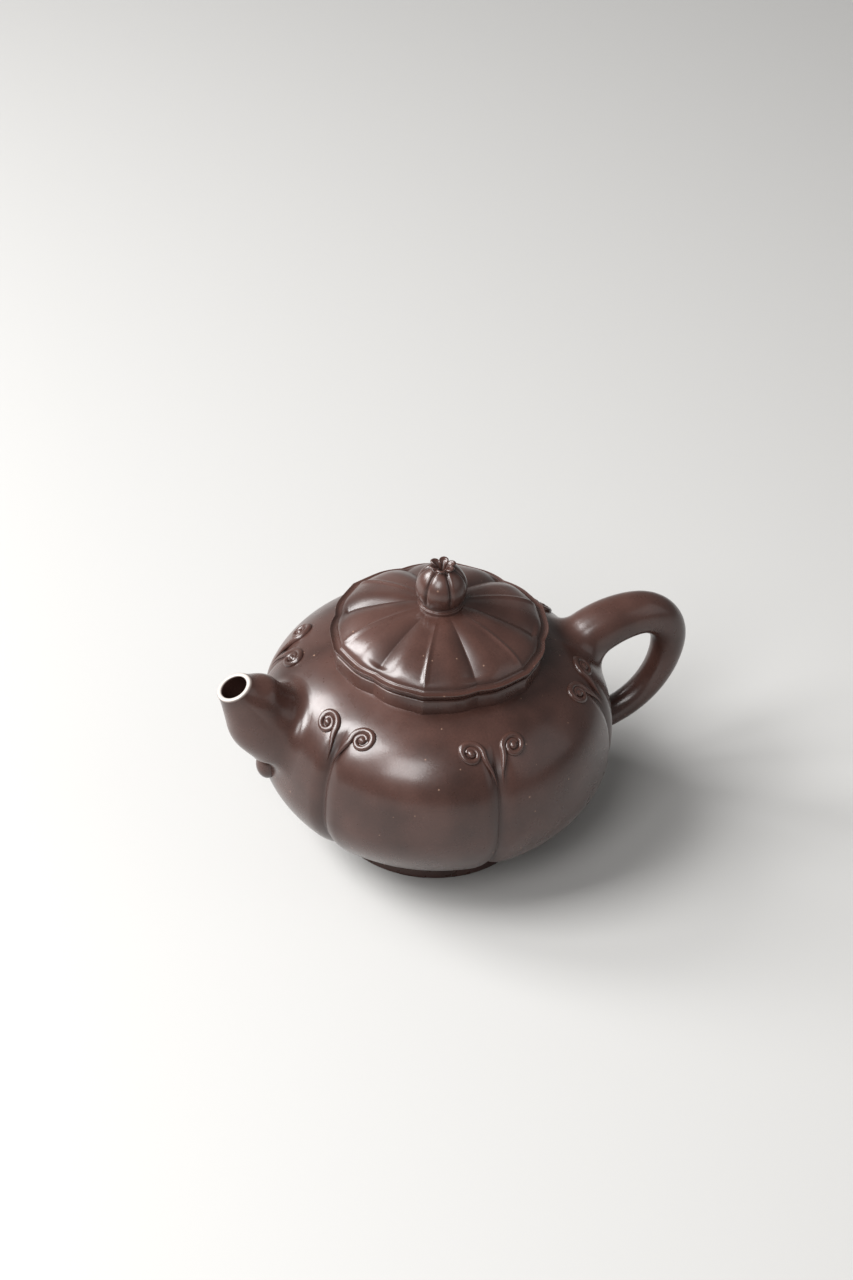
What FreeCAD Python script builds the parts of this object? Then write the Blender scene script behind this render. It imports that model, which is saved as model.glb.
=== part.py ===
import FreeCAD, Part
import math
import os
import re

import Sketcher

# A six-lobed clay teapot standing on its foot ring. Millimetres, +Z up, the origin on the table
# under the pot's axis, the spout towards -X and the handle towards +X.

doc = FreeCAD.newDocument("teapot")
sheet = doc.addObject("Spreadsheet::Sheet", "sizes")

SIZES = {
    # body outline, from the table up
    "lobes": 6,
    "body_radius": 54,
    "belly_height": 34,
    "base_level": 1.6,
    "flank_arc": 23.5,
    "belly_arc": 137,
    "shoulder_arc": 26.8,
    "crown_fall": 28.6444,
    "crown_height": 70.5,
    "wall": 3.2,
    "base_joint": 28.5,
    "top_joint": 29.5,
    # crease grooves
    "groove_depth": 1.5,
    "groove_half_width": 4.2,
    "groove_lip": 0.12,
    "groove_start": 31.5,
    "groove_drop": 17.5,
    "groove_fade": 9,
    # foot ring
    "foot_outer": 30.7,
    "foot_inner": 26.2,
    "foot_waist": 29.8,
    "foot_waist_height": 3.6,
    "foot_reach": 12,
    "foot_edge": 0.6,
    # mouth, collar and lid seat
    "mouth_radius": 26.5,
    "seat_sink": 0.3,
    "collar_tip": 32.6,
    "collar_notch": 31.4,
    # lid
    "lid_tip": 33.6,
    "lid_notch": 32.5,
    "lid_edge": 2.4,
    "lid_rise": 9.6,
    "lid_skin": 3.2,
    "dome_foot": 31.2,
    "dome_groove": 1.5,
    "flange_depth": 8,
    "flange_wall": 3.15,
    "flange_chamfer": 0.8,
    "lid_clearance": 0.35,
    "hollow_height": 3.4,
    # knob
    "ring_radius": 6.9,
    "ring_step": 0.4,
    "ring_height": 1.6,
    "knob_radius": 7.7,
    "knob_drop": 4.3,
    "knob_groove": 0.7,
    "knob_groove_half": 1.0,
    "crown_neck": 2.9,
    "crown_flare": 4.1,
    "crown_rise": 1.5,
    "crown_notch": 1.5,
    "crown_curl": 2.2,
    "crown_lip": 0.5,
    "crown_root": 0.2,
    "funnel_depth": 3.2,
    "vent_radius": 0.9,
    # spout
    "spout_overhang": 10.6,
    "spout_drop": 3.8,
    "spout_slope": 50,
    "mouth_tilt": 64,
    "spout_length": 27,
    "spout_lip_radius": 5.5,
    "spout_neck_radius": 7.9,
    "spout_waist_radius": 10.1,
    "spout_flare_radius": 13.3,
    "spout_root_radius": 17.5,
    "spout_bore": 3.9,
    "bore_neck": 5.6,
    "bore_waist": 7.5,
    "bore_flare": 8.1,
    "opening_radius": 8.2,
    "strainer_radius": 10.6,
    "strainer_skin": 1.8,
    "strainer_hole": 1.1,
    "strainer_pitch": 28,
    "strainer_setback": 24.3,
    "bead_height": 35,
    "bead_width": 4.8,
    "bead_proud": 4.6,
    "bead_tall": 6,
    # handle
    "handle_overhang": 10.9,
    "handle_drop": 19.9,
    "handle_crown": 12.2,
    "handle_sweep": 26.3,
    "handle_arm": 28,
    "handle_thick_root": 9,
    "handle_thick_arm": 6.8,
    "handle_thick_top": 6.2,
    "handle_thick_side": 5.4,
    "handle_thick_low": 4.4,
    "handle_thick_tail": 5.6,
    # scrolls on the shoulder
    "scroll_drop": 11,
    "scroll_offset": 6.8,
    "scroll_turn": 3.5,
    "scroll_pitch": 2.3,
    "scroll_wire": 1.05,
    "scroll_proud": 0.35,
    "scroll_stem": 9,
    "stem_arc": 24.12,
    "scroll_lean": 12,
    "bead_radius": 1.35,
}

# sizes that follow others: the crown's arc flattens as the body widens, and the flange keeps its wall
FOLLOWS = {
    "crown_arc": "body_radius * body_radius / crown_fall",
    "groove_top": "crown_height - groove_drop",
    "seat_height": "crown_height - seat_sink",
    "scroll_height": "crown_height - scroll_drop",
    "spout_reach": "body_radius + spout_overhang",
    "spout_height": "crown_height - spout_drop",
    "handle_top_x": "body_radius + handle_overhang",
    "handle_mid": "crown_height - handle_drop",
    "flange_inner": "mouth_radius - lid_clearance - flange_wall",
}

for row, (name, number) in enumerate(SIZES.items(), start=1):
    sheet.set("A%d" % row, name)
    sheet.set("B%d" % row, str(number))
    sheet.setAlias("B%d" % row, name)
doc.recompute()


# Formulas of sizes

def linked(text):
    """A formula of sizes, with each size's name turned into its cell in the sheet, and each place that follows
    them into its own formula."""

    def cell(match):
        word = match.group()
        if word in FOLLOWS:
            return "(%s)" % linked(FOLLOWS[word])
        return "sizes." + word if word in SIZES else word

    return re.sub(r"[a-z_]+", cell, text)


def value(text):
    """What a formula of sizes comes to, in millimetres or degrees."""
    return float(sheet.evalExpression(linked(text)))


def bind(thing, **formulas):
    """Tie properties of a document object to formulas of sizes."""
    for name, text in formulas.items():
        thing.setExpression(name.replace("__", "."), linked(text))


def place(thing, **formulas):
    """Tie the parts of an object's position to formulas of sizes."""
    for axis, text in formulas.items():
        thing.setExpression("Placement.Base." + axis, linked(text))


# Sketches

START, END, CENTRE = 1, 2, 3
ORIGIN = (-1, 1)
UPRIGHT_AXIS = -2


def new_body(name):
    return doc.addObject("PartDesign::Body", name)


def new_sketch(body, name, role="XZ_Plane"):
    """An empty sketch on one of the body's own origin planes."""
    sketch = body.newObject("Sketcher::SketchObject", name)
    plane = next(item for item in body.Origin.OriginFeatures if item.Role == role)
    sketch.AttachmentSupport = (plane, "")
    sketch.MapMode = "FlatFace"
    return sketch


def rule(sketch, kind, *where, formula=None):
    """Add a constraint, and tie its size to a formula."""
    if formula is None:
        return sketch.addConstraint(Sketcher.Constraint(kind, *where))
    index = sketch.addConstraint(Sketcher.Constraint(kind, *where, value(formula)))
    sketch.setExpression("Constraints[%d]" % index, linked(formula))
    return index


def pin(sketch, edge, point, x=None, y=None):
    """Hold a point of a sketch at x and y, each a formula of sizes."""
    for kind, text in (("DistanceX", x), ("DistanceY", y)):
        if text is None:
            continue
        if text == "0":
            rule(sketch, "PointOnObject", edge, point, UPRIGHT_AXIS if kind == "DistanceX" else -1)
        elif value(text) < 0:
            rule(sketch, kind, edge, point, *ORIGIN, formula="-(%s)" % text)
        else:
            rule(sketch, kind, *ORIGIN, edge, point, formula=text)


def arc(centre, radius, start, end):
    """Arc of a circle in the sketch plane, counterclockwise between two angles in radians."""
    circle = Part.Circle(FreeCAD.Vector(*centre, 0), FreeCAD.Vector(0, 0, 1), radius)
    return Part.ArcOfCircle(circle, start, end)


def bent_edge(start, end, radius):
    """Arc from start to end that turns left where the radius is positive and right where negative."""
    chord = end - start
    half = chord.Length / 2
    across = FreeCAD.Vector(-chord.y, chord.x, 0).normalize()
    side = math.copysign(math.sqrt(radius * radius - half * half), radius)
    centre = start + chord * 0.5 + across * side
    angles = [math.atan2(point.y - centre.y, point.x - centre.x) for point in (start, end)]
    if radius < 0:
        angles.reverse()
    if angles[1] < angles[0]:
        angles[1] += 2 * math.pi
    return arc((centre.x, centre.y), abs(radius), *angles)


def outline(sketch, corners):
    """Close a chain of edges round the corners. Each corner is an x and a y formula, and a third formula
    bends the edge to the next corner into an arc of that radius, left for plus and right for minus."""
    points = [FreeCAD.Vector(value(corner[0]), value(corner[1]), 0) for corner in corners]
    ends = []
    for index, corner in enumerate(corners):
        start, end = points[index], points[(index + 1) % len(points)]
        if len(corner) == 2:
            edge = sketch.addGeometry(Part.LineSegment(start, end), False)
            ends.append((edge, START, END))
        else:
            turn = value(corner[2])
            edge = sketch.addGeometry(bent_edge(start, end, turn), False)
            ends.append((edge, START, END) if turn > 0 else (edge, END, START))
    for index, corner in enumerate(corners):
        edge, first, last = ends[index]
        before = ends[index - 1]
        rule(sketch, "Coincident", before[0], before[2], edge, first)
        pin(sketch, edge, first, corner[0], corner[1])
        if len(corner) == 3:
            sign = "" if value(corner[2]) > 0 else "-"
            rule(sketch, "Radius", edge, formula="%s(%s)" % (sign, corner[2]))


def draw_circle(sketch, radius):
    """A circle round the sketch's origin."""
    circle = Part.Circle(FreeCAD.Vector(), FreeCAD.Vector(0, 0, 1), value(radius))
    edge = sketch.addGeometry(circle, False)
    rule(sketch, "Coincident", edge, CENTRE, *ORIGIN)
    rule(sketch, "Radius", edge, formula=radius)


def revolve(body, sketch, name):
    """Turn a section once round the upright axis."""
    feature = body.newObject("PartDesign::Revolution", name)
    feature.Profile = sketch
    feature.ReferenceAxis = (sketch, ["V_Axis"])
    feature.Angle = 360
    doc.recompute()
    return feature


def polar(body, sketch, features, name):
    """Repeat features once per lobe round the upright axis."""
    pattern = body.newObject("PartDesign::PolarPattern", name)
    pattern.Originals = features
    pattern.Axis = (sketch, ["V_Axis"])
    pattern.Angle = 360
    bind(pattern, Occurrences="lobes")
    body.Tip = pattern
    doc.recompute()
    return pattern


def cut(name, base, *tools):
    """Take tools away from a base, and give the result the piece's name."""
    for count, tool in enumerate(tools, start=1):
        last = count == len(tools)
        result = doc.addObject("Part::Cut", name if last else "%s_cut_%d" % (name, count))
        result.Base = base
        result.Tool = tool
        base = result
    doc.recompute()
    result.Label = name
    return result


# Body outline

def chain(sketch, inset, foot_x, top_x):
    """Draw the body's outline, moved inwards by inset, from foot_x up to top_x: a floor arc centred on the
    axis, the flank, the belly, the shoulder in two stretches, and a crown arc centred on the axis.
    Neighbouring arcs are tangent. Returns the edges by name."""
    deep = value(inset)
    radii = {name: value(name + "_arc") for name in ("flank", "belly", "shoulder", "crown")}
    middle = value("belly_height")
    radius = value("body_radius")
    drop = middle - value("base_level")
    side = radius - radii["flank"]
    radii["floor"] = (side ** 2 + drop ** 2 - radii["flank"] ** 2) / (2 * (drop - radii["flank"]))
    centres = {
        "floor": (0, value("base_level") + radii["floor"]),
        "flank": (side, middle),
        "belly": (radius - radii["belly"], middle),
        "crown": (0, value("crown_height") - radii["crown"]),
    }
    # the shoulder's centre is a known distance from the belly's and the crown's
    near, far = radii["belly"] - radii["shoulder"], radii["crown"] - radii["shoulder"]
    gap = FreeCAD.Vector(*centres["crown"], 0) - FreeCAD.Vector(*centres["belly"], 0)
    along = (near ** 2 - far ** 2 + gap.Length ** 2) / (2 * gap.Length)
    across = math.sqrt(near ** 2 - along ** 2)
    gap.normalize()
    centres["shoulder"] = (
        centres["belly"][0] + gap.x * along - gap.y * across,
        centres["belly"][1] + gap.y * along + gap.x * across,
    )

    def heading(inner, outer):
        return math.atan2(centres[outer][1] - centres[inner][1], centres[outer][0] - centres[inner][0])

    split = math.asin((value("groove_top") - centres["shoulder"][1]) / (radii["shoulder"] - deep))
    foot = -math.acos(value(foot_x) / (radii["floor"] - deep))
    top = math.acos(value(top_x) / (radii["crown"] - deep))
    spans = [
        ("floor", "floor", foot, heading("floor", "flank")),
        ("flank", "flank", heading("floor", "flank"), 0),
        ("belly", "belly", 0, heading("belly", "shoulder")),
        ("shoulder", "shoulder", heading("belly", "shoulder"), split),
        ("shoulder_top", "shoulder", split, heading("crown", "shoulder")),
        ("crown", "crown", heading("crown", "shoulder"), top),
    ]
    edges = {}
    for name, kind, start, end in spans:
        edges[name] = sketch.addGeometry(arc(centres[kind], radii[kind] - deep, start, end), False)
    pin(sketch, edges["flank"], CENTRE, "body_radius - flank_arc", "belly_height")
    pin(sketch, edges["flank"], END, y="belly_height")
    pin(sketch, edges["crown"], CENTRE, "0", "crown_height - crown_arc")
    pin(sketch, edges["floor"], CENTRE, "0")
    for name in ("flank", "belly", "shoulder", "crown"):
        rule(sketch, "Radius", edges[name], formula="%s_arc - (%s)" % (name, inset))
    tangent = (("floor", "flank"), ("flank", "belly"), ("belly", "shoulder"), ("shoulder_top", "crown"))
    for before, after in tangent:
        rule(sketch, "Tangent", edges[before], END, edges[after], START)
    rule(sketch, "Coincident", edges["shoulder"], END, edges["shoulder_top"], START)
    rule(sketch, "Coincident", edges["shoulder"], CENTRE, edges["shoulder_top"], CENTRE)
    pin(sketch, edges["shoulder"], END, y="groove_top")
    lowest = sketch.addGeometry(Part.Point(FreeCAD.Vector(0, value("base_level") + deep, 0)), True)
    pin(sketch, lowest, START, "0", "base_level + (%s)" % inset)
    rule(sketch, "PointOnObject", lowest, START, edges["floor"])
    pin(sketch, edges["floor"], START, foot_x)
    pin(sketch, edges["crown"], END, top_x)
    return edges


def join(sketch, edge, end, other, other_end):
    """A straight edge between two loose ends of a sketch."""
    points = [sketch.getPoint(edge, end), sketch.getPoint(other, other_end)]
    line = sketch.addGeometry(Part.LineSegment(*points), False)
    rule(sketch, "Coincident", edge, end, line, START)
    rule(sketch, "Coincident", line, END, other, other_end)


def solid_form(name, inset):
    """The whole globe inside the body's outline, used to trim what is stuck on or set in."""
    body = new_body(name)
    sketch = new_sketch(body, name + "_section")
    edges = chain(sketch, inset, "0", "0")
    join(sketch, edges["crown"], END, edges["floor"], START)
    revolve(body, sketch, name + "_turned")
    return body


def wall_body():
    """Hollow wall of the globe between the base and top slabs, with a crease groove between lobes.
    The groove is a cusp with rounded shoulders, carried up and down the outline from the belly, and it
    runs out along a tangent under the scrolls. The body is turned half a lobe from the spout."""
    body = new_body("wall_turned")
    section = new_sketch(body, "wall_section")
    outer = chain(section, "0", "base_joint", "top_joint")
    inner = chain(section, "wall", "base_joint", "top_joint")
    join(section, outer["crown"], END, inner["crown"], END)
    join(section, outer["floor"], START, inner["floor"], START)
    revolve(body, section, "wall_revolution")

    rising = new_sketch(body, "groove_rising")
    edges = chain(rising, "0", "groove_start", "top_joint")
    for name in ("floor", "flank", "shoulder_top", "crown"):
        rising.toggleConstruction(edges[name])
    reach = rising.getPoint(edges["shoulder"], END)
    centre = rising.getPoint(edges["shoulder"], CENTRE)
    out = (reach - centre).normalize()
    run_out = reach + FreeCAD.Vector(-out.y, out.x, 0) * value("groove_fade")
    line = rising.addGeometry(Part.LineSegment(reach, run_out), False)
    rule(rising, "Tangent", edges["shoulder"], END, line, START)
    rule(rising, "Distance", line, formula="groove_fade")

    falling = new_sketch(body, "groove_falling")
    edges = chain(falling, "0", "groove_start", "top_joint")
    for name in ("belly", "shoulder", "shoulder_top", "crown"):
        falling.toggleConstruction(edges[name])

    cusp = new_sketch(body, "groove_cusp", "XY_Plane")
    cusp.AttachmentOffset = FreeCAD.Placement(FreeCAD.Vector(0, 0, value("belly_height")), FreeCAD.Rotation())
    cusp.setExpression("AttachmentOffset.Base.z", linked("belly_height"))
    sunk = "(groove_depth + groove_lip)"
    shoulder = "((groove_half_width ^ 2 + %s ^ 2) / (2 * %s))" % (sunk, sunk)
    outline(cusp, [
        ("body_radius - groove_depth", "0", "-" + shoulder),
        ("body_radius + groove_lip", "groove_half_width"),
        ("body_radius + groove_depth", "groove_half_width"),
        ("body_radius + groove_depth", "-groove_half_width"),
        ("body_radius + groove_lip", "-groove_half_width", "-" + shoulder),
    ])
    doc.recompute()
    pipes = []
    for path in (rising, falling):
        pipe = body.newObject("PartDesign::SubtractivePipe", path.Name + "_cut")
        pipe.Profile = cusp
        pipe.Spine = (path, [])
        doc.recompute()
        pipes.append(pipe)
    polar(body, section, pipes, "groove_pattern")
    turn = FreeCAD.Rotation(FreeCAD.Vector(0, 0, 1), 180 / value("lobes"))
    body.Placement = FreeCAD.Placement(FreeCAD.Vector(), turn)
    doc.recompute()
    return body


# Pieces of the pot

def cylinder(name, radius, height, **where):
    """Upright round bar, its sizes and its foot's place given as formulas."""
    bar = doc.addObject("Part::Cylinder", name)
    bind(bar, Radius=radius, Height=height)
    place(bar, **where)
    return bar


def turned(name, corners):
    """A ring or disc turned from one closed section."""
    body = new_body(name)
    sketch = new_sketch(body, name + "_section")
    outline(sketch, corners)
    revolve(body, sketch, name + "_turned")
    body.Label = name
    return body


def common(name, base, tool):
    """What a base and a tool share."""
    result = doc.addObject("Part::Common", name)
    result.Base = base
    result.Tool = tool
    doc.recompute()
    result.Label = name
    return result


def lobed_wire(name, tip, notch, height):
    """Level six-lobed outline. From each notch the edge swells out in a convex arc, then runs in a concave
    arc to the pointed tip half a lobe on. Tips lie towards the spout and the handle."""
    low, high = value(notch), value(tip)
    shares = ((0, 0), (1 / 3, 0.6), (2 / 3, 0.6), (5 / 6, 0.72), (1, 1))
    half_lobe = math.pi / value("lobes")
    level = value(height)

    def point(step, share, lobe, side):
        angle = (2 * lobe + 1) * half_lobe + side * step * half_lobe
        reach = low + share * (high - low)
        return FreeCAD.Vector(reach * math.cos(angle), reach * math.sin(angle), level)

    edges = []
    for lobe in range(int(value("lobes"))):
        rising = [point(step, share, lobe, 1) for step, share in shares]
        falling = [point(step, share, lobe, -1) for step, share in reversed(shares)]
        for first, through, last in (falling[0:3], falling[2:5], rising[0:3], rising[2:5]):
            edges.append(Part.Arc(first, through, last).toShape())
    wire = doc.addObject("Part::Feature", name)
    wire.Shape = Part.Wire(Part.__sortEdges__(edges))
    return wire


def extruded(name, wire, height):
    """A level outline raised to a height."""
    solid = doc.addObject("Part::Extrusion", name)
    solid.Base = wire
    solid.DirMode = "Custom"
    solid.Dir = (0, 0, 1)
    solid.Solid = True
    bind(solid, LengthFwd=height)
    return solid


def level_circle(body, name, radius, x, z, lean):
    """A circle centred at x and z in the plane of spout and handle, whose normal leans from +Z towards +X."""
    sketch = new_sketch(body, name, "XY_Plane")
    draw_circle(sketch, radius)
    turn = FreeCAD.Rotation(FreeCAD.Vector(0, 1, 0), value(lean))
    sketch.AttachmentOffset = FreeCAD.Placement(FreeCAD.Vector(value(x), 0, value(z)), turn)
    sketch.setExpression("AttachmentOffset.Base.x", linked(x))
    sketch.setExpression("AttachmentOffset.Base.z", linked(z))
    return sketch


def loft(body, kind, name, rings):
    """Smooth skin through a row of rings."""
    feature = body.newObject("PartDesign::" + kind, name)
    feature.Profile = rings[0]
    feature.Sections = rings[1:]
    doc.recompute()
    return feature


def spout_blank():
    """Stout tapered spout about a straight slanting axis, with a level lip and a flared root inside the body.
    Places along the axis are counted back from the lip."""
    body = new_body("spout_blank")
    stations = (
        ("0", "spout_lip_radius", "spout_bore"),
        ("0.26 * spout_length", "spout_neck_radius", "bore_neck"),
        ("0.5 * spout_length", "spout_waist_radius", "bore_waist"),
        ("0.75 * spout_length", "spout_flare_radius", "bore_flare"),
        ("spout_length", "spout_root_radius", "opening_radius"),
    )
    outer, inner = [], []
    for index, (back, radius, bore) in enumerate(stations):
        x = "-spout_reach + (%s) * cos(spout_slope)" % back
        z = "spout_height - (%s) * sin(spout_slope)" % back
        lean = "mouth_tilt - 90" if index == 0 else "spout_slope - 90"
        outer.append(level_circle(body, "spout_ring_%d" % index, radius, x, z, lean))
        inner.append(level_circle(body, "bore_ring_%d" % index, bore, x, z, lean))
    loft(body, "AdditiveLoft", "spout_skin", outer)
    loft(body, "SubtractiveLoft", "spout_bore_cut", inner)
    return body


def handle_blank():
    """Ear-shaped loop: an upper arm, a tight crown and a long lower sweep, three tangent arcs whose round
    section thins from the upper root to the lower arm. Angles run clockwise from straight up."""
    body = new_body("handle_blank")
    arm = ("handle_top_x", "handle_mid + handle_crown - handle_arm", "handle_arm")
    crown = ("handle_top_x", "handle_mid", "handle_crown")
    sweep = ("handle_top_x + handle_crown - handle_sweep", "handle_mid", "handle_sweep")
    stations = (
        (arm, -50, "handle_thick_root"),
        (arm, -22, "handle_thick_arm"),
        (crown, 12, "handle_thick_top"),
        (crown, 52, "(handle_thick_top + handle_thick_side) / 2"),
        (sweep, 92, "handle_thick_side"),
        (sweep, 120, "(handle_thick_side + handle_thick_low) / 2"),
        (sweep, 150, "handle_thick_low"),
        (sweep, 176, "handle_thick_low + 0.2"),
        (sweep, 194, "handle_thick_tail"),
    )
    rings = []
    for index, ((x, z, radius), angle, thick) in enumerate(stations):
        across = "%s + %s * sin(%d)" % (x, radius, angle)
        height = "%s + %s * cos(%d)" % (z, radius, angle)
        rings.append(level_circle(body, "handle_ring_%d" % index, thick, across, height, "%d + 90" % angle))
    loft(body, "AdditiveLoft", "handle_skin", rings)
    return body


def strainer_dome():
    """Half ball pierced by one hole at its pole and two rings of holes, in a frame of its own."""
    body = new_body("strainer_dome")
    section = new_sketch(body, "strainer_section")
    outline(section, [
        ("0", "-strainer_radius", "strainer_radius"),
        ("strainer_radius", "0"),
        ("strainer_radius - strainer_skin", "0", "-(strainer_radius - strainer_skin)"),
        ("0", "-(strainer_radius - strainer_skin)"),
    ])
    revolve(body, section, "strainer_turned")
    for ring in range(3):
        hole = new_sketch(body, "strainer_hole_%d" % ring, "XY_Plane")
        draw_circle(hole, "strainer_hole")
        turn = FreeCAD.Rotation(FreeCAD.Vector(0, 1, 0), ring * value("strainer_pitch"))
        hole.AttachmentOffset = FreeCAD.Placement(FreeCAD.Vector(), turn)
        pocket = body.newObject("PartDesign::Pocket", "strainer_pierce_%d" % ring)
        pocket.Profile = hole
        bind(pocket, Length="strainer_radius + strainer_skin")
        doc.recompute()
        if ring > 0:
            pattern = body.newObject("PartDesign::PolarPattern", "strainer_ring_%d" % ring)
            pattern.Originals = [pocket]
            pattern.Axis = (section, ["V_Axis"])
            pattern.Angle = 360
            pattern.Occurrences = 6 * ring
            body.Tip = pattern
            doc.recompute()
    return body


def scroll_blank(side):
    """A raised curl and its stem on the shoulder, in the lobe to one side of a groove. The curl spirals in
    by half turns in the plane that touches the shoulder under its eye, and the stem drops from its start
    in an arc that follows the shoulder down. A bead marks the eye."""
    name = "scroll_left" if side > 0 else "scroll_right"
    shoulder = body_form.Shape.Faces
    height = value("scroll_height")
    line = Part.makeLine(FreeCAD.Vector(0, 0, height), FreeCAD.Vector(2 * value("body_radius"), 0, height))
    reach = line.common(body_form.Shape).BoundBox.XMax
    eye = FreeCAD.Vector(reach, 0, height)
    face = min(shoulder, key=lambda item: item.distToShape(Part.Vertex(eye))[0])
    normal = face.normalAt(*face.Surface.parameter(eye))
    normal.y = 0
    normal.normalize()
    if normal.x < 0:
        normal = -normal
    turn = FreeCAD.Rotation(FreeCAD.Vector(0, 0, 1), 180 / value("lobes"))
    spread = FreeCAD.Rotation(FreeCAD.Vector(0, 0, 1), side * math.degrees(value("scroll_offset") / reach))
    frame = turn.multiply(spread)
    out = frame.multVec(normal)
    up = frame.multVec(FreeCAD.Vector(-normal.z, 0, normal.x))
    across = frame.multVec(FreeCAD.Vector(0, side, 0))
    eye = frame.multVec(eye) + out * value("scroll_proud")

    lean = math.radians(value("scroll_lean"))
    radius, pitch = value("scroll_turn"), value("scroll_pitch")
    axis_a = across * math.cos(lean) - up * math.sin(lean)
    axis_b = across * math.sin(lean) + up * math.cos(lean)
    edges = []
    centre, sign = eye, -1
    start = centre + axis_a * (sign * radius)
    first = start
    while radius > value("bead_radius"):
        top = centre + axis_b * (-sign * radius)
        end = centre - axis_a * (sign * radius)
        edges.append(Part.Arc(start, top, end).toShape())
        centre = centre + axis_a * (-sign * pitch / 2)
        radius -= pitch / 2
        start, sign = end, -sign
    bend = value("stem_arc")
    sweep = value("scroll_stem") / bend
    below = first - out * bend
    half, tail = (
        below + out * (bend * math.cos(angle)) - axis_b * (bend * math.sin(angle))
        for angle in (sweep / 2, sweep)
    )
    edges.insert(0, Part.Arc(tail, half, first).toShape())
    path = doc.addObject("Part::Feature", name + "_path")
    path.Shape = Part.Wire(edges)
    ring = doc.addObject("Part::Circle", name + "_ring")
    bind(ring, Radius="scroll_wire")
    heading = edges[0].tangentAt(edges[0].FirstParameter)
    ring.Placement = FreeCAD.Placement(tail, FreeCAD.Rotation(FreeCAD.Vector(0, 0, 1), heading))
    sweep_solid = doc.addObject("Part::Sweep", name + "_coil")
    sweep_solid.Sections = [ring]
    sweep_solid.Spine = (path, ["Edge%d" % number for number in range(1, len(edges) + 1)])
    sweep_solid.Solid = True
    bead = doc.addObject("Part::Sphere", name + "_bead")
    bind(bead, Radius="bead_radius")
    bead.Placement.Base = eye
    fused = doc.addObject("Part::MultiFuse", name + "_raised")
    fused.Shapes = [sweep_solid, bead]
    doc.recompute()
    return cut(name + "_trimmed", fused, wall)


def knob_body():
    """Ball with a crease between lobes, a flared crown of pointed leaves, a funnel and a vent."""
    body = new_body("knob")
    section = new_sketch(body, "knob_section")
    foot = "seat_height + lid_edge + lid_rise + ring_height"
    middle = "(%s + knob_drop)" % foot
    neck = "(%s + sqrt(knob_radius ^ 2 - crown_neck ^ 2))" % middle
    sole = "sqrt(knob_radius ^ 2 - knob_drop ^ 2)"
    outline(section, [
        ("vent_radius", foot),
        (sole, foot, "knob_radius"),
        ("knob_radius", middle, "knob_radius"),
        ("crown_neck", neck, "-crown_curl"),
        ("crown_flare", neck + " + crown_rise"),
        ("crown_flare - crown_lip", neck + " + crown_rise + crown_lip / 2"),
        ("vent_radius", neck + " + crown_rise - funnel_depth"),
    ])
    revolve(body, section, "knob_turned")
    path = new_sketch(body, "knob_path")
    line = path.addGeometry(arc((0, value(middle)), value("knob_radius"), 0, math.radians(68)), False)
    pin(path, line, CENTRE, "0", middle)
    pin(path, line, START, y=middle)
    rule(path, "Radius", line, formula="knob_radius")
    pin(path, line, END, x="crown_neck")
    fall = new_sketch(body, "knob_fall")
    line = fall.addGeometry(arc((0, value(middle)), value("knob_radius"), -math.radians(32), 0), False)
    pin(fall, line, CENTRE, "0", middle)
    pin(fall, line, END, y=middle)
    rule(fall, "Radius", line, formula="knob_radius")
    pin(fall, line, START, x=sole)
    cusp = new_sketch(body, "knob_cusp", "XY_Plane")
    cusp.AttachmentOffset = FreeCAD.Placement(FreeCAD.Vector(0, 0, value(middle)), FreeCAD.Rotation())
    cusp.setExpression("AttachmentOffset.Base.z", linked(middle))
    round_side = "((knob_groove_half ^ 2 + knob_groove ^ 2) / (2 * knob_groove))"
    outline(cusp, [
        ("knob_radius - knob_groove", "0", "-" + round_side),
        ("knob_radius", "knob_groove_half"),
        ("knob_radius + knob_groove", "knob_groove_half"),
        ("knob_radius + knob_groove", "-knob_groove_half"),
        ("knob_radius", "-knob_groove_half", "-" + round_side),
    ])
    doc.recompute()
    features = []
    for spine in (path, fall):
        pipe = body.newObject("PartDesign::SubtractivePipe", spine.Name + "_cut")
        pipe.Profile = cusp
        pipe.Spine = (spine, [])
        doc.recompute()
        features.append(pipe)
    notch = new_sketch(body, "crown_gap", "YZ_Plane")
    outline(notch, [
        ("0", neck + " - crown_root"),
        ("crown_notch", neck + " + crown_rise + 2 * crown_lip"),
        ("-crown_notch", neck + " + crown_rise + 2 * crown_lip"),
    ])
    gap = body.newObject("PartDesign::Pocket", "crown_gap_cut")
    gap.Profile = notch
    bind(gap, Length="2 * crown_flare")
    gap.Reversed = True
    doc.recompute()
    features.append(gap)
    polar(body, section, features, "knob_lobes")
    turn = FreeCAD.Rotation(FreeCAD.Vector(0, 0, 1), 180 / value("lobes"))
    body.Placement = FreeCAD.Placement(FreeCAD.Vector(), turn)
    body.Label = "knob"
    doc.recompute()
    return body


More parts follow.
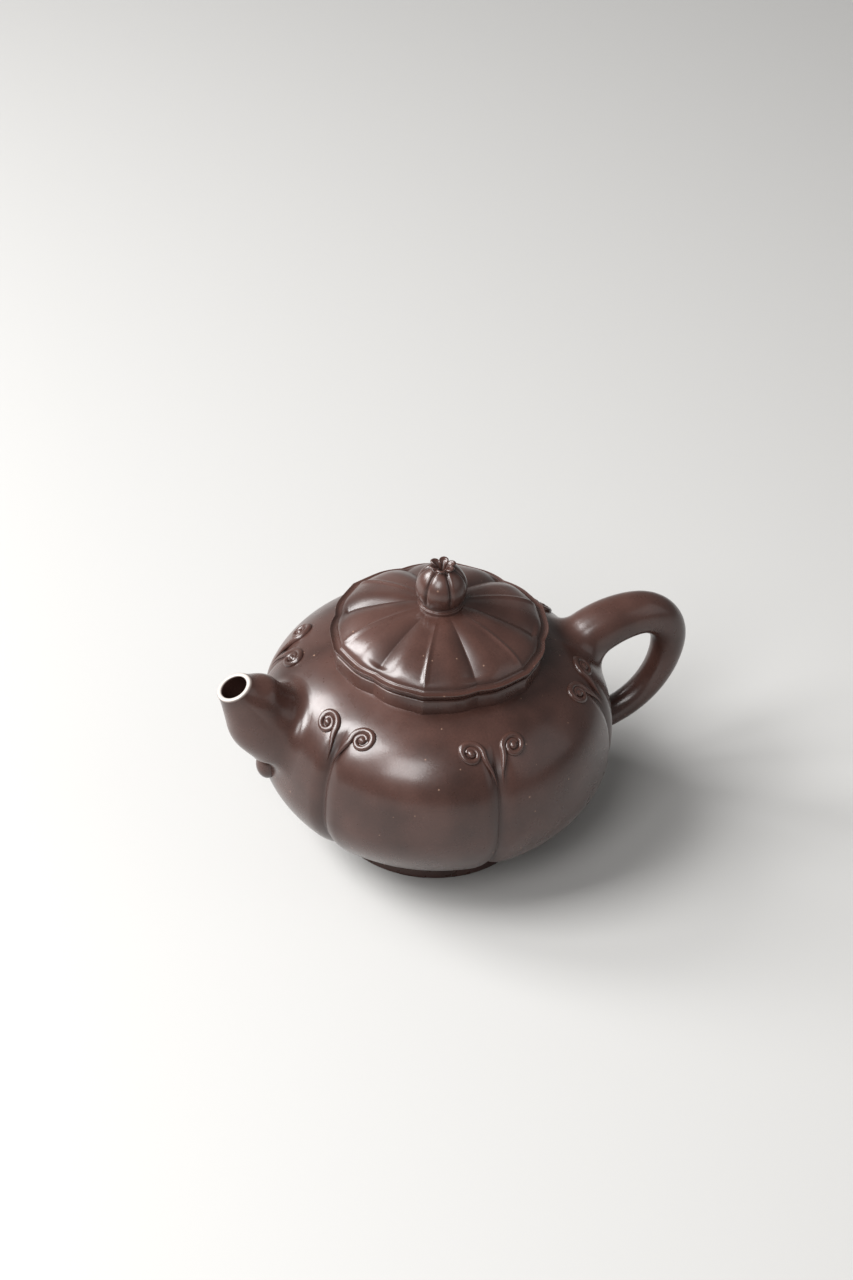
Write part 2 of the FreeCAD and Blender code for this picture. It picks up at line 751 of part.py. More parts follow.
def lid_plate():
    """Six-petalled cover: a thin lobed brim, a dome lofted through lobed outlines whose creases and ridges
    fade towards the knob, hollowed from below and pierced by the vent."""
    rim = lobed_wire("lid_rim", "lid_tip", "lid_notch", "seat_height")
    brim = extruded("lid_brim", rim, "lid_edge")
    steps = ((0, 1, 1), (0.26, 0.945, 1), (0.54, 0.82, 0.95), (0.8, 0.565, 0.75), (1, 0.24, 0.3))
    rings = []
    for index, (rise, reach, crease) in enumerate(steps):
        tip = "dome_foot * %s" % reach
        notch = "dome_foot * %s - dome_groove * %s" % (reach, crease)
        level = "seat_height + lid_edge + lid_rise * %s" % rise
        rings.append(lobed_wire("dome_ring_%d" % index, tip, notch, level))
    dome = doc.addObject("Part::Loft", "lid_dome")
    dome.Sections = rings
    dome.Solid = True
    dome.Ruled = False
    whole = doc.addObject("Part::Fuse", "lid_whole")
    whole.Base = brim
    whole.Tool = dome
    doc.recompute()
    ceiling = "(seat_height + lid_edge + lid_rise - lid_skin)"
    hollow = turned("lid_hollow", [
        ("0", "seat_height - lid_edge"),
        ("flange_inner", "seat_height - lid_edge"),
        ("flange_inner", "seat_height + hollow_height", "2 * flange_inner"),
        ("0", ceiling),
    ])
    vent = cylinder("lid_vent", "vent_radius", "seat_height", z="seat_height")
    return cut("lid_plate", whole, hollow, vent)


body_form = solid_form("body_form", "0")
cavity_form = solid_form("cavity_form", "wall")
shell = cut("shell", body_form, cavity_form)
wall = wall_body()

opening = cylinder("spout_opening", "opening_radius", "spout_length")
axis = FreeCAD.Rotation(FreeCAD.Vector(0, 1, 0), value("spout_slope") - 90)
opening.Placement = FreeCAD.Placement(FreeCAD.Vector(), axis)
place(
    opening,
    x="-spout_reach + (spout_length + opening_radius) * cos(spout_slope)",
    z="spout_height - (spout_length + opening_radius) * sin(spout_slope)",
)
body_wall = cut("body_wall", wall, opening)

base_plug = cylinder("base_plug", "base_joint", "belly_height")
base_disc = common("base_disc", shell, base_plug)
top_plug = cylinder("top_plug", "top_joint", "crown_height - belly_height", z="belly_height")
mouth_plug = cylinder("mouth_plug", "mouth_radius", "crown_height", z="belly_height")
top_disc = cut("top_disc", common("top_slab", shell, top_plug), mouth_plug)

foot_blank = turned("foot_blank", [
    ("foot_inner", "0"),
    ("foot_outer - foot_edge", "0", "foot_edge"),
    ("foot_outer", "foot_edge", "-foot_reach"),
    ("foot_waist", "foot_waist_height"),
    ("foot_waist", "foot_waist_height + foot_reach"),
    ("foot_inner", "foot_waist_height + foot_reach"),
])
foot_ring = cut("foot_ring", foot_blank, body_form)

collar_outline = lobed_wire("collar_outline", "collar_tip", "collar_notch", "belly_height")
collar_blank = extruded("collar_blank", collar_outline, "seat_height - belly_height")
neck_collar = cut("neck_collar", collar_blank, mouth_plug, body_form)

spout = cut("spout", spout_blank(), body_form)
handle = cut("handle", handle_blank(), body_form)

dome = strainer_dome()
dome.Placement = FreeCAD.Placement(FreeCAD.Vector(), axis)
place(
    dome,
    x="-spout_reach + strainer_setback * cos(spout_slope)",
    z="spout_height - strainer_setback * sin(spout_slope)",
)
ball_strainer = common("ball_strainer", dome, cavity_form)

bead = doc.addObject("Part::Ellipsoid", "spout_bead_blank")
bind(bead, Radius1="bead_tall", Radius2="bead_proud", Radius3="bead_width")
bead.Angle1, bead.Angle2, bead.Angle3 = -90, 90, 360
place(bead, x="-body_radius", z="bead_height")
spout_bead = cut("spout_bead", bead, body_form, spout)

scrolls = []
for side, word in ((1, "left"), (-1, "right")):
    curl = scroll_blank(side)
    for lobe in range(int(value("lobes"))):
        copy = doc.addObject("Part::Compound", "scroll_%d_%s" % (lobe + 1, word))
        copy.Links = [curl]
        turn = FreeCAD.Rotation(FreeCAD.Vector(0, 0, 1), lobe * 360 / value("lobes"))
        copy.Placement = FreeCAD.Placement(FreeCAD.Vector(), turn)
        scrolls.append(copy)

plate = lid_plate()
flange = turned("lid_flange", [
    ("flange_inner", "seat_height - flange_depth"),
    ("mouth_radius - lid_clearance - flange_chamfer", "seat_height - flange_depth"),
    ("mouth_radius - lid_clearance", "seat_height - flange_depth + flange_chamfer"),
    ("mouth_radius - lid_clearance", "seat_height"),
    ("flange_inner", "seat_height"),
])
ring_foot = "seat_height + lid_edge + lid_rise"
knob_ring = turned("knob_ring", [
    ("vent_radius", ring_foot),
    ("ring_radius", ring_foot),
    ("ring_radius", ring_foot + " + ring_height / 2"),
    ("ring_radius - ring_step", ring_foot + " + ring_height / 2"),
    ("ring_radius - ring_step", ring_foot + " + ring_height"),
    ("vent_radius", ring_foot + " + ring_height"),
])
knob = knob_body()

# Checks and files

doc.recompute()
for item in doc.Objects:
    bad = {"Invalid", "Error"} & set(item.State)
    if bad:
        raise RuntimeError("%s is %s" % (item.Name, bad))
pieces = [body_wall, top_disc, base_disc, foot_ring, neck_collar, spout, ball_strainer, spout_bead, handle]
pieces += scrolls + [plate, flange, knob_ring, knob]
os.makedirs("parts", exist_ok=True)
for piece in pieces:
    shape = piece.Shape
    if shape.isNull() or not shape.isValid() or len(shape.Solids) != 1:
        raise RuntimeError("%s has no sound single solid: %d" % (piece.Label, len(shape.Solids)))
for piece in pieces:
    piece.Shape.exportStep("parts/%s.step" % piece.Label)
    print("%-16s %9.1f mm3" % (piece.Label, piece.Shape.Volume))
print("holds about %.0f ml" % (cavity_form.Shape.Volume / 1000))
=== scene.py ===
"""Looks of a lobed clay teapot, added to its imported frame. Metres, +Z up, the spout towards -X."""

import math

import bmesh
import bpy
import numpy as np
from bpy.props import FloatProperty, FloatVectorProperty, IntProperty, PointerProperty
from mathutils import Matrix, Vector


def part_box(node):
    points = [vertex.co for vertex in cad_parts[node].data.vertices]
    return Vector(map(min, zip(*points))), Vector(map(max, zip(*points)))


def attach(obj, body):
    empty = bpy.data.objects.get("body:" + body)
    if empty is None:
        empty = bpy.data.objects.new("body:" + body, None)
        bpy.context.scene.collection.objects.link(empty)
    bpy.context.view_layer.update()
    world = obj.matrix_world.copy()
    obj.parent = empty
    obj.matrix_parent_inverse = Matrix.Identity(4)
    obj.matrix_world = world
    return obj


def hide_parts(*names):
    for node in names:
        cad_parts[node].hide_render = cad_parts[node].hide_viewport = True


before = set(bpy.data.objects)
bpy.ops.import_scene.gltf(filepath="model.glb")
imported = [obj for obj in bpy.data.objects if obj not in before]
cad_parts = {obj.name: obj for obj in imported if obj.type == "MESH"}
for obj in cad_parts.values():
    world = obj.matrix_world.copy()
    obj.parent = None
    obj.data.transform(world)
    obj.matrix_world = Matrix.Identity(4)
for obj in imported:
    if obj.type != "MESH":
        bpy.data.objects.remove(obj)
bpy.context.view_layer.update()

bl_info = {
    "name": "Clay teapot",
    "version": (1, 0, 0),
    "blender": (4, 5, 0),
    "location": "View3D > Sidebar > Teapot",
    "description": "Burnished clay surfaces for a lobed teapot, and a plain studio round it",
    "category": "Object",
}

PHOTO_HEIGHT = 1280
LENS_SHIFT = (-13.1, -12.25)    # in pixels of the photograph
SENSOR_WIDTH = 36               # millimetres
LID_LOW, LID_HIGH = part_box("lid_plate")
RING_LOW, RING_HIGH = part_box("knob_ring")
SEAT = LID_LOW.z
LID_TOP = LID_HIGH.z
GAP = 0.00005                   # room between a new surface and the piece beside it
HALVINGS = 40                   # steps in the search for where a line meets the globe
HEM = ((0.0008, 0.00004), (0.0013, 0.0008))    # way past the end of a blend, and depth under the globe there
CLOUDS, MOTTLE, GRAINS = 55, 1600, 560         # scales of the clay's colours, per metre
BURNISH, TOOTH, HAND_WORK = 240, 900, 160      # scales of its gloss and of its two reliefs
COMMON_CELLS = 0.955                           # share of the cells that hold no grain
LAMP_AIM = Vector((0, 0, 0.05))
LAMPS = (
    # name, place, size, watts
    ("window_back", (-0.64, 0.56, 0.66), (0.34, 0.46), 9.0),
    ("window_front", (-0.58, -0.62, 0.82), (0.40, 0.50), 6.0),
    ("window_side", (-0.78, 0.04, 0.92), (0.56, 0.56), 19.0),
    ("fill", (0.80, -0.60, 0.60), (0.80, 0.80), 1.2),
)


# Sizes and finishes a user would change

def length(name, description, default):
    """A size in metres."""
    return FloatProperty(
        name=name, description=description, default=default, min=0, unit="LENGTH", precision=5)


def angle(name, description, degrees):
    """An angle, given in degrees."""
    return FloatProperty(name=name, description=description, default=math.radians(degrees), subtype="ANGLE")


def ratio(name, description, default):
    """A plain number."""
    return FloatProperty(name=name, description=description, default=default, min=0)


def colour(name, description, default):
    """A colour in linear light."""
    return FloatVectorProperty(
        name=name, description=description, default=default, subtype="COLOR", min=0, max=1)


class GlobeSizes(bpy.types.PropertyGroup):
    """The lobed globe that the other pieces stand on."""
    lobes: IntProperty(name="Lobes", description="Lobes round the pot", default=6, min=3)
    radius: length("Radius", "Widest radius of the globe", 0.054)
    belly: length("Belly", "Height of the widest place", 0.034)
    upper: length("Upper height", "From the belly to the top of the full outline", 0.0349)
    lower: length("Lower height", "From the belly to the bottom of the full outline", 0.0324)
    fullness: ratio("Fullness", "Power of the upper outline, 2 for an ellipse", 2.69)
    wall: length("Wall", "Thickness of the wall", 0.0032)
    groove_depth: length("Groove depth", "Depth of the crease between lobes", 0.0017)
    groove_half: length("Groove half width", "Reach of the crease's rounded shoulders", 0.0052)
    groove_fade_low: length("Fade from", "Height where the creases begin to fade", 0.0555)
    groove_fade_high: length("Fade to", "Height where the creases end", 0.0615)
    base_joint: length("Base joint", "Radius where the wall meets the base", 0.0285)
    top_joint: length("Top joint", "Radius where the wall meets the top slab", 0.0295)


class RimSizes(bpy.types.PropertyGroup):
    """Lobed collar and petalled lid."""
    mouth: length("Mouth", "Radius of the mouth", 0.0265)
    collar_tip: length("Collar tip", "Collar radius at a tip", 0.0326)
    collar_notch: length("Collar notch", "Collar radius at a notch", 0.0308)
    tip: length("Lid tip", "Lid radius at a tip", 0.0336)
    notch: length("Lid notch", "Lid radius at a notch", 0.0317)
    edge: length("Edge", "Thickness of the lid's brim", 0.0024)
    dome_tip: length("Dome tip", "Dome foot radius at a tip", 0.0312)
    dome_notch: length("Dome notch", "Dome foot radius at a notch", 0.0296)
    hollow: length("Hollow", "Radius of the hollow under the lid", 0.0230)
    skin: length("Skin", "Thickness of the dome", 0.0030)
    valley: length("Valley", "Depth of the creases between petals", 0.0016)
    ridge: length("Ridge", "Height of the fine ridge along each petal", 0.0006)
    vent: length("Vent", "Radius of the air hole", 0.0009)


class KnobSizes(bpy.types.PropertyGroup):
    """Ball knob with its crown and stepped ring."""
    radius: length("Radius", "Radius of the ball", 0.0077)
    drop: length("Drop", "Height of the ball's middle over the ring", 0.0043)
    groove: length("Groove depth", "Depth of the creases", 0.0008)
    groove_half: length("Groove half width", "Reach of the creases", 0.0014)
    neck: length("Neck", "Radius of the crown's neck", 0.0032)
    flare: length("Flare", "Radius of the crown's points", 0.0042)
    rise: length("Rise", "Height of the crown's points", 0.0009)
    lip: length("Lip", "Thickness of the crown's points", 0.0010)
    funnel: length("Funnel", "Depth of the funnel in the crown", 0.0030)


class SpoutSizes(bpy.types.PropertyGroup):
    """Short tapered spout and the boss under its root."""
    reach: length("Reach", "Lip's distance from the pot's axis", 0.0646)
    height: length("Height", "Height of the lip's middle", 0.0667)
    slope: angle("Slope", "Rise of the spout's axis", 50)
    tilt: angle("Tilt", "Rise of the direction that the lip faces", 64)
    lip: length("Lip", "Outer radius at the lip", 0.0055)
    bore: length("Bore", "Inner radius at the lip", 0.0040)
    opening: length("Opening", "Radius of the opening in the wall", 0.0082)
    taper: ratio("Taper", "Growth of the radius per length along the axis", 0.31)
    belly: length("Belly", "Swelling of the underside halfway down", 0.0030)
    brow: length("Brow", "Swelling of the upper side near the lip", 0.0015)
    span: length("Span", "Length of the axis", 0.0270)
    blend: length("Blend", "Reach of the rounding at the root", 0.0034)


class HandleSizes(bpy.types.PropertyGroup):
    """Ear-shaped loop of three tangent arcs."""
    top: length("Top", "Crown's distance from the pot's axis", 0.0649)
    middle: length("Middle", "Height of the crown's centre", 0.0506)
    crown: length("Crown", "Radius of the crown arc", 0.0122)
    sweep: length("Sweep", "Radius of the lower arc", 0.0263)
    arm: length("Arm", "Radius of the upper arc", 0.0280)
    thick: length("Thick", "Section radius at the upper root", 0.0084)
    thin: length("Thin", "Section radius at the lower arm", 0.0044)
    blend_top: length("Upper blend", "Reach of the rounding at the upper root", 0.0050)
    blend_low: length("Lower blend", "Reach of the rounding at the lower root", 0.0030)


class ScrollSizes(bpy.types.PropertyGroup):
    """Raised curls at the tops of the grooves."""
    height: length("Height", "Height of the eye of a curl", 0.0595)
    offset: length("Offset", "Eye's distance from the groove", 0.0066)
    turn: length("Turn", "Radius at the start of the curl", 0.0035)
    eye: length("Eye", "Radius at the end of the curl", 0.0012)
    turns: ratio("Turns", "Turns of the curl", 1.45)
    stem: length("Stem", "Length of the stem down the groove", 0.0108)
    half_width: length("Half width", "Half the width of the raised line", 0.00105)
    proud: length("Proud", "Height of the raised line", 0.0010)
    bead: length("Bead", "Radius of the bead in the eye", 0.0013)


class ClayFinish(bpy.types.PropertyGroup):
    """Burnished unglazed clay."""
    # Also the colour that the creases are mixed towards, as painted shade.
    dark: colour("Dark", "Clay in the hollows", (0.031, 0.014, 0.0108))
    middle: colour("Middle", "Usual clay colour", (0.056, 0.0255, 0.0198))
    light: colour("Light", "Clay where it is rubbed", (0.080, 0.039, 0.031))
    speck: colour("Speck", "Coarse pale grains", (0.23, 0.14, 0.10))
    # Pale grey painted on the spout's lip as a painted highlight; the lip is also made rougher.
    lip_highlight: colour("Lip highlight", "Unburnished clay of the lip and rims", (0.46, 0.42, 0.39))


class StageLook(bpy.types.PropertyGroup):
    """Plain studio round the pot."""
    floor: colour("Floor", "Colour of the floor and backdrop", (0.46, 0.455, 0.445))
    azimuth: angle("Azimuth", "Camera's turn round the pot, from -Y", -23)
    elevation: angle("Elevation", "Camera's height over the horizon", 37.19)
    roll: angle("Roll", "Lean of the pot's axis in the picture", 2.66)
    distance: length("Distance", "Camera's distance from the lid's rim", 0.8945)
    target: length("Target height", "Height of the point that the camera turns about", 0.07276)
    lens: ratio("Lens", "Focal length in millimetres", 84.4)


# Meshes

def skin(name, rows, loop=False, caps=False, crease=None, lip_highlight=None):
    """A mesh over a grid of points. Each row is one ring round the piece and rows follow one another along
    it; loop joins the last row to the first, and caps closes both ends with a fan from the row's middle.
    The faces are turned so that the volume they hold is positive."""
    count, around = rows.shape[:2]
    index = np.arange(count * around).reshape(count, around)
    if loop:
        index = np.vstack([index, index[:1]])
    low, high = index[:-1], index[1:]
    quads = np.stack([low, np.roll(low, -1, 1), np.roll(high, -1, 1), high], -1).reshape(-1, 4)
    points = rows.reshape(-1, 3)
    fans = np.zeros((0, 3), int)
    if caps:
        first, last = len(points), len(points) + 1
        points = np.vstack([points, rows[0].mean(0), rows[-1].mean(0)])
        start = np.stack([np.roll(index[0], -1), index[0], np.full(around, first)], -1)
        end = np.stack([index[-1], np.roll(index[-1], -1), np.full(around, last)], -1)
        fans = np.vstack([start, end])
    triangles = np.vstack([quads[:, [0, 1, 2]], quads[:, [0, 2, 3]], fans])
    a, b, c = (points[triangles[:, k]] for k in range(3))
    if np.einsum("ij,ij->", a, np.cross(b, c)) < 0:
        quads, fans = quads[:, ::-1], fans[:, ::-1]

    mesh = bpy.data.meshes.new(name)
    mesh.vertices.add(len(points))
    mesh.vertices.foreach_set("co", points.astype(np.float32).ravel())
    corners = np.concatenate([quads.ravel(), fans.ravel()]).astype(np.int32)
    sizes = np.concatenate([np.full(len(quads), 4), np.full(len(fans), 3)]).astype(np.int32)
    starts = np.concatenate([[0], np.cumsum(sizes)[:-1]]).astype(np.int32)
    mesh.loops.add(len(corners))
    mesh.loops.foreach_set("vertex_index", corners)
    mesh.polygons.add(len(sizes))
    mesh.polygons.foreach_set("loop_start", starts)
    mesh.polygons.foreach_set("use_smooth", np.ones(len(sizes), bool))
    for title, field in (("crease", crease), ("lip_highlight", lip_highlight)):
        if field is not None:
            values = np.zeros(len(points), np.float32)
            values[:count * around] = np.broadcast_to(field, (count, around)).ravel()
            mesh.attributes.new(title, "FLOAT", "POINT").data.foreach_set("value", values)
    mesh.update()
    mesh.validate()
    return mesh


def add_piece(mesh, body, *nodes):
    """Put a finished mesh in the scene: it rides on a body, stands for the nodes and wears the clay."""
    piece = bpy.data.objects.new(mesh.name, mesh)
    bpy.context.scene.collection.objects.link(piece)
    mesh.materials.append(clay())
    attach(piece, body)
    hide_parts(*nodes)
    return piece


def smooth_step(low, high, value):
    """0 below low, 1 above high, and a cubic ease between them."""
    share = np.clip((value - low) / (high - low), 0, 1)
    return share * share * (3 - 2 * share)


def ring_angles(around):
    """Angles once round, in equal steps."""
    return np.arange(around) * (2 * math.pi / around)


def from_valley(turn, lobes, start):
    """Signed angle to the nearest of the lobes' valleys, the first of which is at start."""
    pitch = 2 * math.pi / lobes
    return (turn - start + pitch / 2) % pitch - pitch / 2


def ring(radius, height, turn):
    """Points at a radius, a height and an angle, all of which may be arrays."""
    radius, height, turn = np.broadcast_arrays(radius, height, turn)
    return np.stack([radius * np.cos(turn), radius * np.sin(turn), height], -1)


def cusp(away, reach):
    """1 on the line of a crease, falling by a square to 0 at its reach."""
    return np.clip(1 - away / reach, 0, 1) ** 2


def parabola(share, start, corner, end):
    """Points of the curve that leaves start towards corner and reaches end from it."""
    return (1 - share) ** 2 * start + 2 * share * (1 - share) * corner + share ** 2 * end


def evenly(path, count):
    """A path of so many points in equal steps along another, and the length gone at each."""
    gone = np.concatenate([[0], np.cumsum(np.linalg.norm(np.diff(path, axis=0), axis=1))])
    even = np.linspace(0, gone[-1], count)
    return np.stack([np.interp(even, gone, path[:, k]) for k in range(2)], -1), even


def headings(path):
    """Unit direction of a path at each of its points."""
    heading = np.gradient(path, axis=0)
    return heading / np.linalg.norm(heading, axis=1, keepdims=True)


def rounded(corners, radius, steps=5):
    """A profile whose inner corners are rounded: each is replaced by the parabola that starts and ends at the
    given distance from it, or at under half the edge."""
    most = 0.45
    corners = [np.array(corner, float) for corner in corners]
    profile = [corners[0]]
    share = np.linspace(0, 1, steps)[:, None]
    for before, corner, after in zip(corners, corners[1:], corners[2:]):
        back, ahead = before - corner, after - corner
        start = corner + back * min(most, radius / np.linalg.norm(back))
        end = corner + ahead * min(most, radius / np.linalg.norm(ahead))
        profile.extend(parabola(share, start, corner, end))
    profile.append(corners[-1])
    return np.array(profile)


def turned(name, profile, around):
    """A closed profile of radius and height, turned once round the pot's axis."""
    return skin(name, ring(profile[:, :1], profile[:, 1:], ring_angles(around)[None, :]), loop=True)


# The globe's outline

def globe_point(globe, rise, inset=0.0):
    """Radius, height, and outward normal of the outline in the direction rise, an angle from level.
    Above the belly it is a superellipse of the fullness's power, and below it an ellipse. An inset
    moves the point inwards along the normal."""
    upper = rise >= 0
    power = np.where(upper, globe.fullness, 2.0)
    tall = np.where(upper, globe.upper, globe.lower)
    across, up = np.cos(rise), np.abs(np.sin(rise))
    reach = ((across / globe.radius) ** power + (up / tall) ** power) ** (-1 / power)
    radius, height = reach * across, reach * up
    out = radius ** (power - 1) / globe.radius ** power
    top = height ** (power - 1) / tall ** power * np.where(upper, 1, -1)
    size = np.hypot(out, top)
    out, top = out / size, top / size
    height = globe.belly + np.where(upper, height, -height)
    return radius - inset * out, height - inset * top, out, top


def globe_level(globe, points):
    """1 on the globe, less inside and more outside: the power mean of the two shares of the outline."""
    radius = np.hypot(points[..., 0], points[..., 1])
    height = points[..., 2] - globe.belly
    power = np.where(height >= 0, globe.fullness, 2.0)
    tall = np.where(height >= 0, globe.upper, globe.lower)
    return ((radius / globe.radius) ** power + (np.abs(height) / tall) ** power) ** (1 / power)


def on_globe(globe, points):
    """Points moved along lines to the belly's centre until they lie on the globe."""
    centre = np.array([0, 0, globe.belly])
    return centre + (points - centre) / globe_level(globe, points)[..., None]


def globe_normal(globe, points):
    """Outward normal of the globe at points on it."""
    radius = np.hypot(points[..., 0], points[..., 1])
    rise = np.arctan2(points[..., 2] - globe.belly, radius)
    out, top = globe_point(globe, rise)[2:]
    return np.stack([out * points[..., 0] / radius, out * points[..., 1] / radius, top], -1)


def rise_at(globe, radius, side):
    """Direction of the outline's point at a radius: side 1 above the belly, -1 below it."""
    power = globe.fullness if side > 0 else 2.0
    tall = globe.upper if side > 0 else globe.lower
    height = tall * (1 - (radius / globe.radius) ** power) ** (1 / power)
    return side * math.atan2(height, radius)


def rise_at_height(globe, height):
    """Direction of the outline's point at a height, which is over the belly."""
    tall = height - globe.belly
    share = tall / globe.upper
    radius = globe.radius * (1 - share ** globe.fullness) ** (1 / globe.fullness)
    return math.atan2(tall, radius)


def globe_wall(globe, around=600, outside=104, inside=30):
    """The wall as one closed skin: the outline turned round the axis, sunk along its normal by a cusp at each
    valley, (1 - distance / reach) squared, then the inner outline one wall's thickness in."""
    turn = ring_angles(around)[None, :]
    low, high = rise_at(globe, globe.base_joint, -1), rise_at(globe, globe.top_joint, 1)
    rise = np.linspace(low, high, outside)[:, None]
    radius, height, out, top = globe_point(globe, rise)
    away = np.abs(from_valley(turn, globe.lobes, math.pi / globe.lobes)) * radius
    fade = 1 - smooth_step(globe.groove_fade_low, globe.groove_fade_high, height)
    groove = cusp(away, globe.groove_half) * fade
    sunk = globe.groove_depth * groove
    outer = ring(radius - sunk * out, height - sunk * top, turn)
    inner_rise = np.linspace(high, low, inside)[:, None]
    inner_radius, inner_height = globe_point(globe, inner_rise, globe.wall)[:2]
    inner = ring(inner_radius, inner_height, turn)
    crease = np.vstack([groove, np.zeros((inside, around))])
    return skin("clay_wall", np.concatenate([outer, inner]), loop=True, crease=crease)


def pierced(mesh, cutter):
    """A mesh with a closed cutter taken away from it."""
    name = mesh.name
    host, tool = (bpy.data.objects.new(item.name, item) for item in (mesh, cutter))
    for item in (host, tool):
        bpy.context.scene.collection.objects.link(item)
    opening = host.modifiers.new("opening", "BOOLEAN")
    opening.operation = "DIFFERENCE"
    opening.solver = "MANIFOLD"
    opening.object = tool
    result = bpy.data.meshes.new_from_object(host.evaluated_get(bpy.context.evaluated_depsgraph_get()))
    for item in (mesh, cutter):
        bpy.data.meshes.remove(item)
    result.name = name
    result.materials.clear()
    return result


def spout_plug(spout, around=64):
    """A round bar along the spout's axis, from outside the wall to inside it."""
    start, end = 0.45, 1.3    # shares of the spout's length
    turn = ring_angles(around)
    back = np.linspace(start, end, 6)[:, None] * spout.span
    rise = spout.opening * np.cos(turn)
    x = -spout.reach + back * math.cos(spout.slope) + rise * math.sin(spout.slope)
    z = spout.height - back * math.sin(spout.slope) + rise * math.cos(spout.slope)
    rows = np.stack(np.broadcast_arrays(x, spout.opening * np.sin(turn), z), -1)
    return skin("spout_plug", rows, caps=True)


def rooted(globe, tube, near, far, blend, rows, bend_rows=9):
    """Rings of a tube from its free place, near, to where it meets the globe on the way to far. Along each
    line of the tube the meeting place is found by halving; the line stops short of it by the blend, or by
    most of its length if that is less, and a parabola carries it on to a point of the globe the same
    distance outside the meeting place. A hem runs on from there and dips under the globe."""
    nudge, most = 1e-4, 0.9
    outside, inside = near.copy(), far.copy()
    for _ in range(HALVINGS):
        middle = (outside + inside) / 2
        buried = globe_level(globe, tube(middle)) < 1
        inside = np.where(buried, middle, inside)
        outside = np.where(buried, outside, middle)
    meet = tube(inside)
    step = (far - near) * nudge
    pace = np.linalg.norm(tube(inside + step) - meet, axis=-1) / np.abs(step)
    stop = inside - np.sign(far - near) * np.minimum(blend / pace, np.abs(inside - near) * most)
    normal = globe_normal(globe, on_globe(globe, meet))
    away = meet - meet.mean(0)
    away -= np.einsum("ij,ij->i", away, normal)[:, None] * normal
    away /= np.linalg.norm(away, axis=-1, keepdims=True)
    landing = on_globe(globe, meet + away * blend)
    flat = globe_normal(globe, landing)
    arrive = landing - meet
    reach = np.linalg.norm(arrive, axis=-1, keepdims=True)
    arrive -= np.einsum("ij,ij->i", arrive, flat)[:, None] * flat
    arrive /= np.linalg.norm(arrive, axis=-1, keepdims=True)
    corner = landing - arrive * reach
    free = [tube(near + (stop - near) * share) for share in np.linspace(0, 1, rows)]
    start = free[-1]
    share = np.linspace(0, 1, bend_rows)[1:, None, None]
    bend = parabola(share, start, corner, landing)
    hem = [on_globe(globe, landing + arrive * run) - flat * sunk for run, sunk in HEM]
    return np.concatenate([np.array(free), bend, np.array(hem)])


# Spout

def spout_tube(spout, turn, outer=True):
    """Rings about a straight slanting axis, counted from the lip. The outer radius grows evenly from a faint
    flare at the lip; a squared sine of the way back adds the belly to the underside, and one over the half
    next to the lip adds the brow to the upper side. The bore grows more slowly. The plane of a ring turns
    from the lip's tilt to square with the axis."""
    flare, flare_fade = 0.0003, 0.0015
    tilt_end, brow_end = 0.35 * spout.span, 0.55 * spout.span
    bore_taper = 0.55 * spout.taper

    def swelling(back, end):
        return np.sin(np.clip(back / end, 0, 1) * math.pi) ** 2

    def tube(back):
        lean = spout.slope + (spout.tilt - spout.slope) * (1 - smooth_step(0, tilt_end, back))
        if outer:
            radius = spout.lip - flare + spout.taper * back + flare * np.exp(-back / flare_fade)
            under = np.clip(-np.cos(turn), 0, 1) ** 1.5
            over = np.clip(np.cos(turn), 0, 1)
            radius = radius + spout.belly * under * swelling(back, spout.span)
            radius = radius + spout.brow * over * swelling(back, brow_end)
        else:
            radius = spout.bore + bore_taper * back
        centre_x = -spout.reach + back * math.cos(spout.slope)
        centre_z = spout.height - back * math.sin(spout.slope)
        side = radius * np.sin(turn)
        rise = radius * np.cos(turn)
        return np.stack([centre_x + rise * np.sin(lean), side, centre_z + rise * np.cos(lean)], -1)
    return tube


def spout_skin(globe, spout, around=120):
    """The bore's rings up to the lip, the lip's rounded edge, and the outside down to its blend with the
    globe, closed under the globe's surface. The lip is marked for a painted highlight and more roughness."""
    bore_end = 0.82 * spout.span
    first_inner, first_outer = 0.0006, 0.0007    # first rings behind the lip's rounded edge
    turn = ring_angles(around)
    outside = spout_tube(spout, turn)
    bore = spout_tube(spout, turn, outer=False)
    ones = np.ones(around)
    inner = np.array([bore(ones * back) for back in np.linspace(bore_end, first_inner, 24)])
    lip_out, lip_in = outside(0 * ones), bore(0 * ones)
    face = np.array([-math.cos(spout.tilt), 0, math.sin(spout.tilt)])
    # Five rows over the lip: the share of the way across it, the drop under its face, and the strength of the
    # painted highlight
    share = np.array([0.06, 0.22, 0.5, 0.78, 0.94])[:, None, None]
    drop = np.array([0.00022, 0.00004, 0, 0.00004, 0.00022])[:, None, None]
    highlight_strength = np.array([0.4, 1, 1, 1, 0.4])[:, None]
    lip = lip_in + (lip_out - lip_in) * share - face * drop
    outer = rooted(globe, outside, ones * first_outer, ones * spout.span, spout.blend, 40)
    rows = np.concatenate([inner, lip, outer])
    lip_highlight = np.zeros((len(rows), around))
    lip_highlight[len(inner):len(inner) + len(lip)] = highlight_strength
    return skin("clay_spout", rows, loop=True, lip_highlight=lip_highlight)


# Handle

